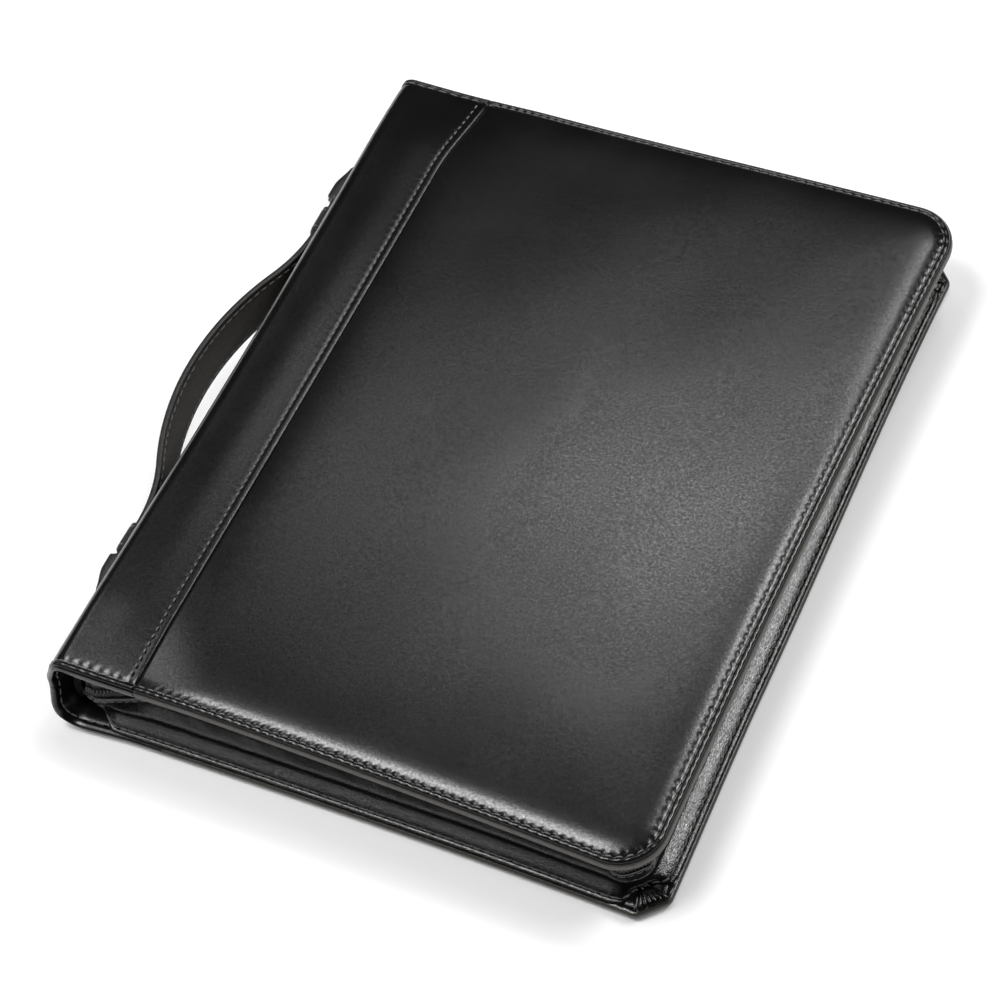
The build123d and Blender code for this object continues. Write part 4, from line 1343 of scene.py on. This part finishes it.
def linings():
    """Linings and boards of the covers and the spine."""
    tall = HALF - TRAY + 0.4
    far = CASE_W - TRAY + 0.4
    low, high = box_mm("back_lining")
    cut = 10.0

    def front_shape(gap):
        near_u, far_u, end = 9.0, far - gap, tall - gap
        corners = [(near_u, -end), (far_u, -end), (far_u, end), (near_u, end)]
        return corners, [1.0, 16.0, 16.0, 1.0]

    def back_shape(gap):
        near_x, far_x, end = low[0], high[0] - gap, tall - gap
        corners = [
            (near_x, -end), (far_x - cut, -end), (far_x, -end + cut),
            (far_x, end - cut), (far_x - cut, end), (near_x, end),
        ]
        return corners, [1.0, 4.0, 4.0, 4.0, 4.0, 1.0]

    cut_sheet("front_lining_cloth", "front_cover", inner_front, *front_shape(0.0),
              FRONT_T - 1.5, FRONT_T - 0.03, "front_lining")
    cut_sheet("front_stiffener", "front_cover", inner_front, *front_shape(1.5),
              2.5, 4.4, "front_board", BOARD, "board")
    cut_sheet("back_lining_cloth", "back_cover", inner_back, *back_shape(0.0),
              BACK_T - 1.4, BACK_T - 0.03, "back_lining")
    cut_sheet("back_stiffener", "back_cover", inner_back, *back_shape(1.5),
              2.0, 3.5, "back_board", BOARD, "board")

    path, inward, thick = spine_path()
    y = np.linspace(-tall, tall, 150)

    def lay(keep, depth):
        x, z = (path[keep, None, k] + inward[keep, None, k] * depth for k in (0, 1))
        return flare(np.stack([x, np.broadcast_to(y[None], x.shape), z], -1))

    between = (path[:, 1] > BOTTOM_BEND * 0.32) & (path[:, 1] < TOP - TOP_BEND * 0.4)
    keep = between & (path[:, 0] < SPINE_X + 12)
    ripple = 0.22 * waves(path[keep, 1][:, None] * 3, y[None], 45.0, 61)
    deep = thick[keep, None] - 0.15 + ripple
    points, faces = closed_sheet(lay(keep, deep), lay(keep, thick[keep, None] - 1.1 + 0 * deep), 0.2)
    piece("spine_lining_cloth", points, faces, LINING, "spine", "lining", ("spine_lining",))
    wall = keep & (np.abs(path[:, 0] - SPINE_X) < 0.5)
    flat = np.zeros((wall.sum(), len(y)))
    points, faces = closed_sheet(lay(wall, 1.6 + flat), lay(wall, 2.8 + flat), 0.1)
    piece("spine_stiffener", points, faces, BOARD, "spine", "board", ("spine_board",))


def on_cover(node):
    """A CAD node's extent on the front cover: low and high u, low and high v."""
    low, high = box_mm(node)
    return low[0] - SPINE_X, high[0] - SPINE_X, low[1], high[1]


def pockets():
    """The pad pocket, the file pocket and the three stepped card pockets."""
    low, high = box_mm("pad_pocket")
    soft_patch("pad_pocket_leather", "back_cover", inner_back, (low[0], high[0], low[1], high[1]),
               low[2], 1.2, 0.9, hides=("pad_pocket",))
    soft_patch("file_pocket_leather", "front_cover", inner_front, on_cover("file_pocket"),
               FRONT_T, 1.2, 1.3, hides=("file_pocket",))
    for k in (1, 2, 3):
        node = f"card_pocket_{k}"
        soft_patch(f"{node}_leather", "front_cover", inner_front, on_cover(node),
                   FRONT_T + 0.9 * (k - 1), 0.85, 0.25, hides=(node,))


def window():
    """The clear window and its sewn frame of four leather strips."""
    u0, u1, v0, v1 = on_cover("id_window")
    frame_w, lap, count = 6.0, 0.3, 50
    low_v, high_v = v0 + frame_w, v1 - frame_w
    strips = (
        (u0, u1, v0, low_v), (u0, u1, high_v, v1),
        (u0, u0 + frame_w, low_v - lap, high_v + lap), (u1 - frame_w, u1, low_v - lap, high_v + lap),
    )
    bevel = np.array([0.0, 0.3, 0.8, 1.6, 3.0, 4.4, 5.2, 5.7, frame_w])
    meshes, lines = [], []
    for a0, a1, b0, b1 in strips:
        wide = a1 - a0 > b1 - b0
        span = np.linspace(a0, a1, count) if wide else np.linspace(b0, b1, count)
        strip = (b0 if wide else a0) + bevel
        grid = np.meshgrid(span, strip, indexing="ij")
        u, v = grid if wide else grid[::-1]
        edge = np.minimum(bevel, frame_w - bevel)[None] + 0 * u
        top = inner_front(u, v, FRONT_T + 0.85 + 0.45 * smooth(0, 2.2, edge) - 0.1)
        points, faces = closed_sheet(top, inner_front(u, v, np.full(u.shape, FRONT_T - 0.05)), 0.15)
        meshes.append((points, faces if not wide else [face[::-1] for face in faces]))
        sewn = span, np.full(count, strip[4])
        middle = inner_front(*(sewn if wide else sewn[::-1]), np.full(count, FRONT_T + 1.2))
        facing = np.tile([-math.sin(TILT), 0, -math.cos(TILT)], (count, 1))
        lines.append(stitch_line(middle, facing, SEAM_PITCH, 0.3))
    joined("window_frame", meshes, POCKET_LEATHER, "front_cover", "pocket_leather", ("id_window",))
    joined("window_frame_stitches", lines, THREAD, "front_cover", "pocket_leather")
    soft_patch("window_sheet", "front_cover", inner_front, (u0 + 3, u1 - 3, v0 + 3, v1 - 3),
               FRONT_T + 0.25, 0.3, 0.25, (True,) * 4, VINYL, "clear_vinyl", stitch=False)


def pen_loop():
    """A tube of leather that holds a pen along the front cover."""
    u0, u1, v0, v1 = on_cover("pen_loop")
    sides = 32
    turn = np.linspace(0, TWO_PI, sides + 1)[:-1]
    loop_u, loop_d = 5.2 * np.cos(turn), 5.2 * np.sin(turn)
    stations = np.linspace(-(v1 - v0) / 2, (v1 - v0) / 2, 24)
    rings = []
    for share, order in ((1.0, stations), (0.80, stations[::-1])):
        for station in order:
            size = share * (1 + 0.012 * math.cos(station * TWO_PI / 5.5))
            rings.append(inner_front(
                (u0 + u1) / 2 + loop_u * size, (v0 + v1) / 2 + station, FRONT_T + 5.15 + loop_d * size,
            ))
    rings = np.stack(rings)
    faces = grid_faces(len(rings), sides, wrap_rows=True, wrap_columns=True)
    piece(
        "pen_loop_leather", rings.reshape(-1, 3), faces, POCKET_LEATHER, "front_cover",
        "pocket_leather", ("pen_loop",),
    )


def soften_metal():
    """Small rounded edges on the stamped and turned metal parts."""
    for part in frame["record"]["subparts"]:
        if part["material_slot"] in ("nickel", "black_metal"):
            node = frame["nodes"][part["node"]]
            bevel = node.modifiers.new("soft_edges", "BEVEL")
            bevel.width = 0.00022
            bevel.segments = 2
            bevel.limit_method = "ANGLE"
            bevel.angle_limit = math.radians(40)


# ------------------------------------------------------------------ stage, lights and camera
def studio_floor():
    """A pale floor that glows as painted light, a little brighter far away, in a dim room."""
    n = Nodes("studio_floor", (0.9, 0.9, 0.9))
    n.set("Base Color", (0.93, 0.93, 0.935, 1))
    n.set("Roughness", 0.8)
    n.set("Specular IOR Level", 0.2)
    n.set("Emission Color", (1.0, 1.0, 1.0, 1))
    away = n.add("ShaderNodeVectorMath", {0: n.place()}, operation="LENGTH").outputs["Value"]
    # Painted light: the floor's glow rises from 0.6 by the case to 2.0 far from it, and also lights the
    # case.
    n.set("Emission Strength", n.ramp(away, 0.15, 0.85, 0.6, 2.0))
    size, level = 3000.0, -0.02
    corners = [(x * size, y * size, level) for x, y in ((-1, -1), (1, -1), (1, 1), (-1, 1))]
    piece("floor", corners, [[0, 1, 2, 3]], n.material)

    world = bpy.data.worlds.new("studio")
    world.use_nodes = True
    backdrop = world.node_tree.nodes["Background"]
    backdrop.inputs["Color"].default_value = (1.0, 1.0, 1.0, 1)
    backdrop.inputs["Strength"].default_value = 0.02
    bpy.context.scene.world = world


def area_light(name, place, aim, width, height, power):
    """A rectangular soft light at a place, turned towards its aim. Metres and watts."""
    light = bpy.data.lights.new(name, "AREA")
    light.shape = "RECTANGLE"
    light.size, light.size_y = width, height
    light.energy = power
    lamp = bpy.data.objects.new(name, light)
    lamp.location = place
    lamp.rotation_mode = "QUATERNION"
    lamp.rotation_quaternion = (Vector(aim) - Vector(place)).to_track_quat("-Z", "Y")
    bpy.context.scene.collection.objects.link(lamp)


def studio_lights():
    """Small key lights over the head end, and larger lights round the case."""
    middle = (0.0, 0.0, 0.0)
    for k, (x, y, power) in enumerate((
        (-0.75, 0.75, 0.4), (-0.45, 0.80, 1.4), (-0.25, 0.93, 0.9),
        (0.0, 0.80, 0.4), (0.0, 1.15, 1.8), (0.25, 0.75, 3.6),
    )):
        area_light(f"key_{k}", (x, y, 1.60), (0.0, 0.0, 0.04), 0.24, 0.24, power)
    area_light("near_top", (-0.62, 0.03, 1.60), (0.0, -0.15, 0.0), 0.30, 0.30, 0.35)
    area_light("near_low", (-0.75, -0.80, 1.55), (-0.75, -0.80, 0.0), 0.35, 1.2, 3.5)
    area_light("right_strip", (1.13, 0.95, 1.55), (1.13, 0.95, 0.0), 0.45, 1.2, 28.0)
    area_light("left_fill", (-1.35, 0.25, 1.70), middle, 0.60, 0.60, 3.0)
    area_light("left_window", (-2.3, -0.9, 1.3), middle, 1.3, 1.2, 4.0)
    area_light("overhead", (-0.60, -0.30, 2.20), middle, 0.8, 0.8, 28.0)
    bpy.context.scene.view_settings.view_transform = "Standard"


CAMERA_PLACE = (0.4766, -0.5915, 1.0786)
CAMERA_ANGLES = (39.93, 54.85, -17.18)
CAMERA_LENS = 110.3


def studio_camera():
    """A camera at the photo's place, from its azimuth, elevation and roll in degrees."""
    azimuth, elevation, roll = (math.radians(angle) for angle in CAMERA_ANGLES)
    back = Vector((
        math.sin(azimuth) * math.cos(elevation),
        -math.cos(azimuth) * math.cos(elevation),
        math.sin(elevation),
    ))
    level = Vector((0, 0, 1)).cross(back).normalized()
    upright = back.cross(level)
    right = level * math.cos(roll) + upright * math.sin(roll)
    up = upright * math.cos(roll) - level * math.sin(roll)
    camera = bpy.data.objects.new("camera", bpy.data.cameras.new("camera"))
    bpy.context.scene.collection.objects.link(camera)
    turn = Matrix((right, up, back)).transposed()
    camera.matrix_world = Matrix.Translation(CAMERA_PLACE) @ turn.to_4x4()
    camera.data.sensor_width = 36.0
    camera.data.lens = CAMERA_LENS
    camera.data.clip_start, camera.data.clip_end = 0.05, 50.0
    bpy.context.scene.camera = camera


# ------------------------------------------------------------------ the case
dress_cad_nodes()
covers()
spine_wrap()
walls()
handle()
linings()
pockets()
window()
pen_loop()
soften_metal()
studio_floor()
studio_lights()
studio_camera()
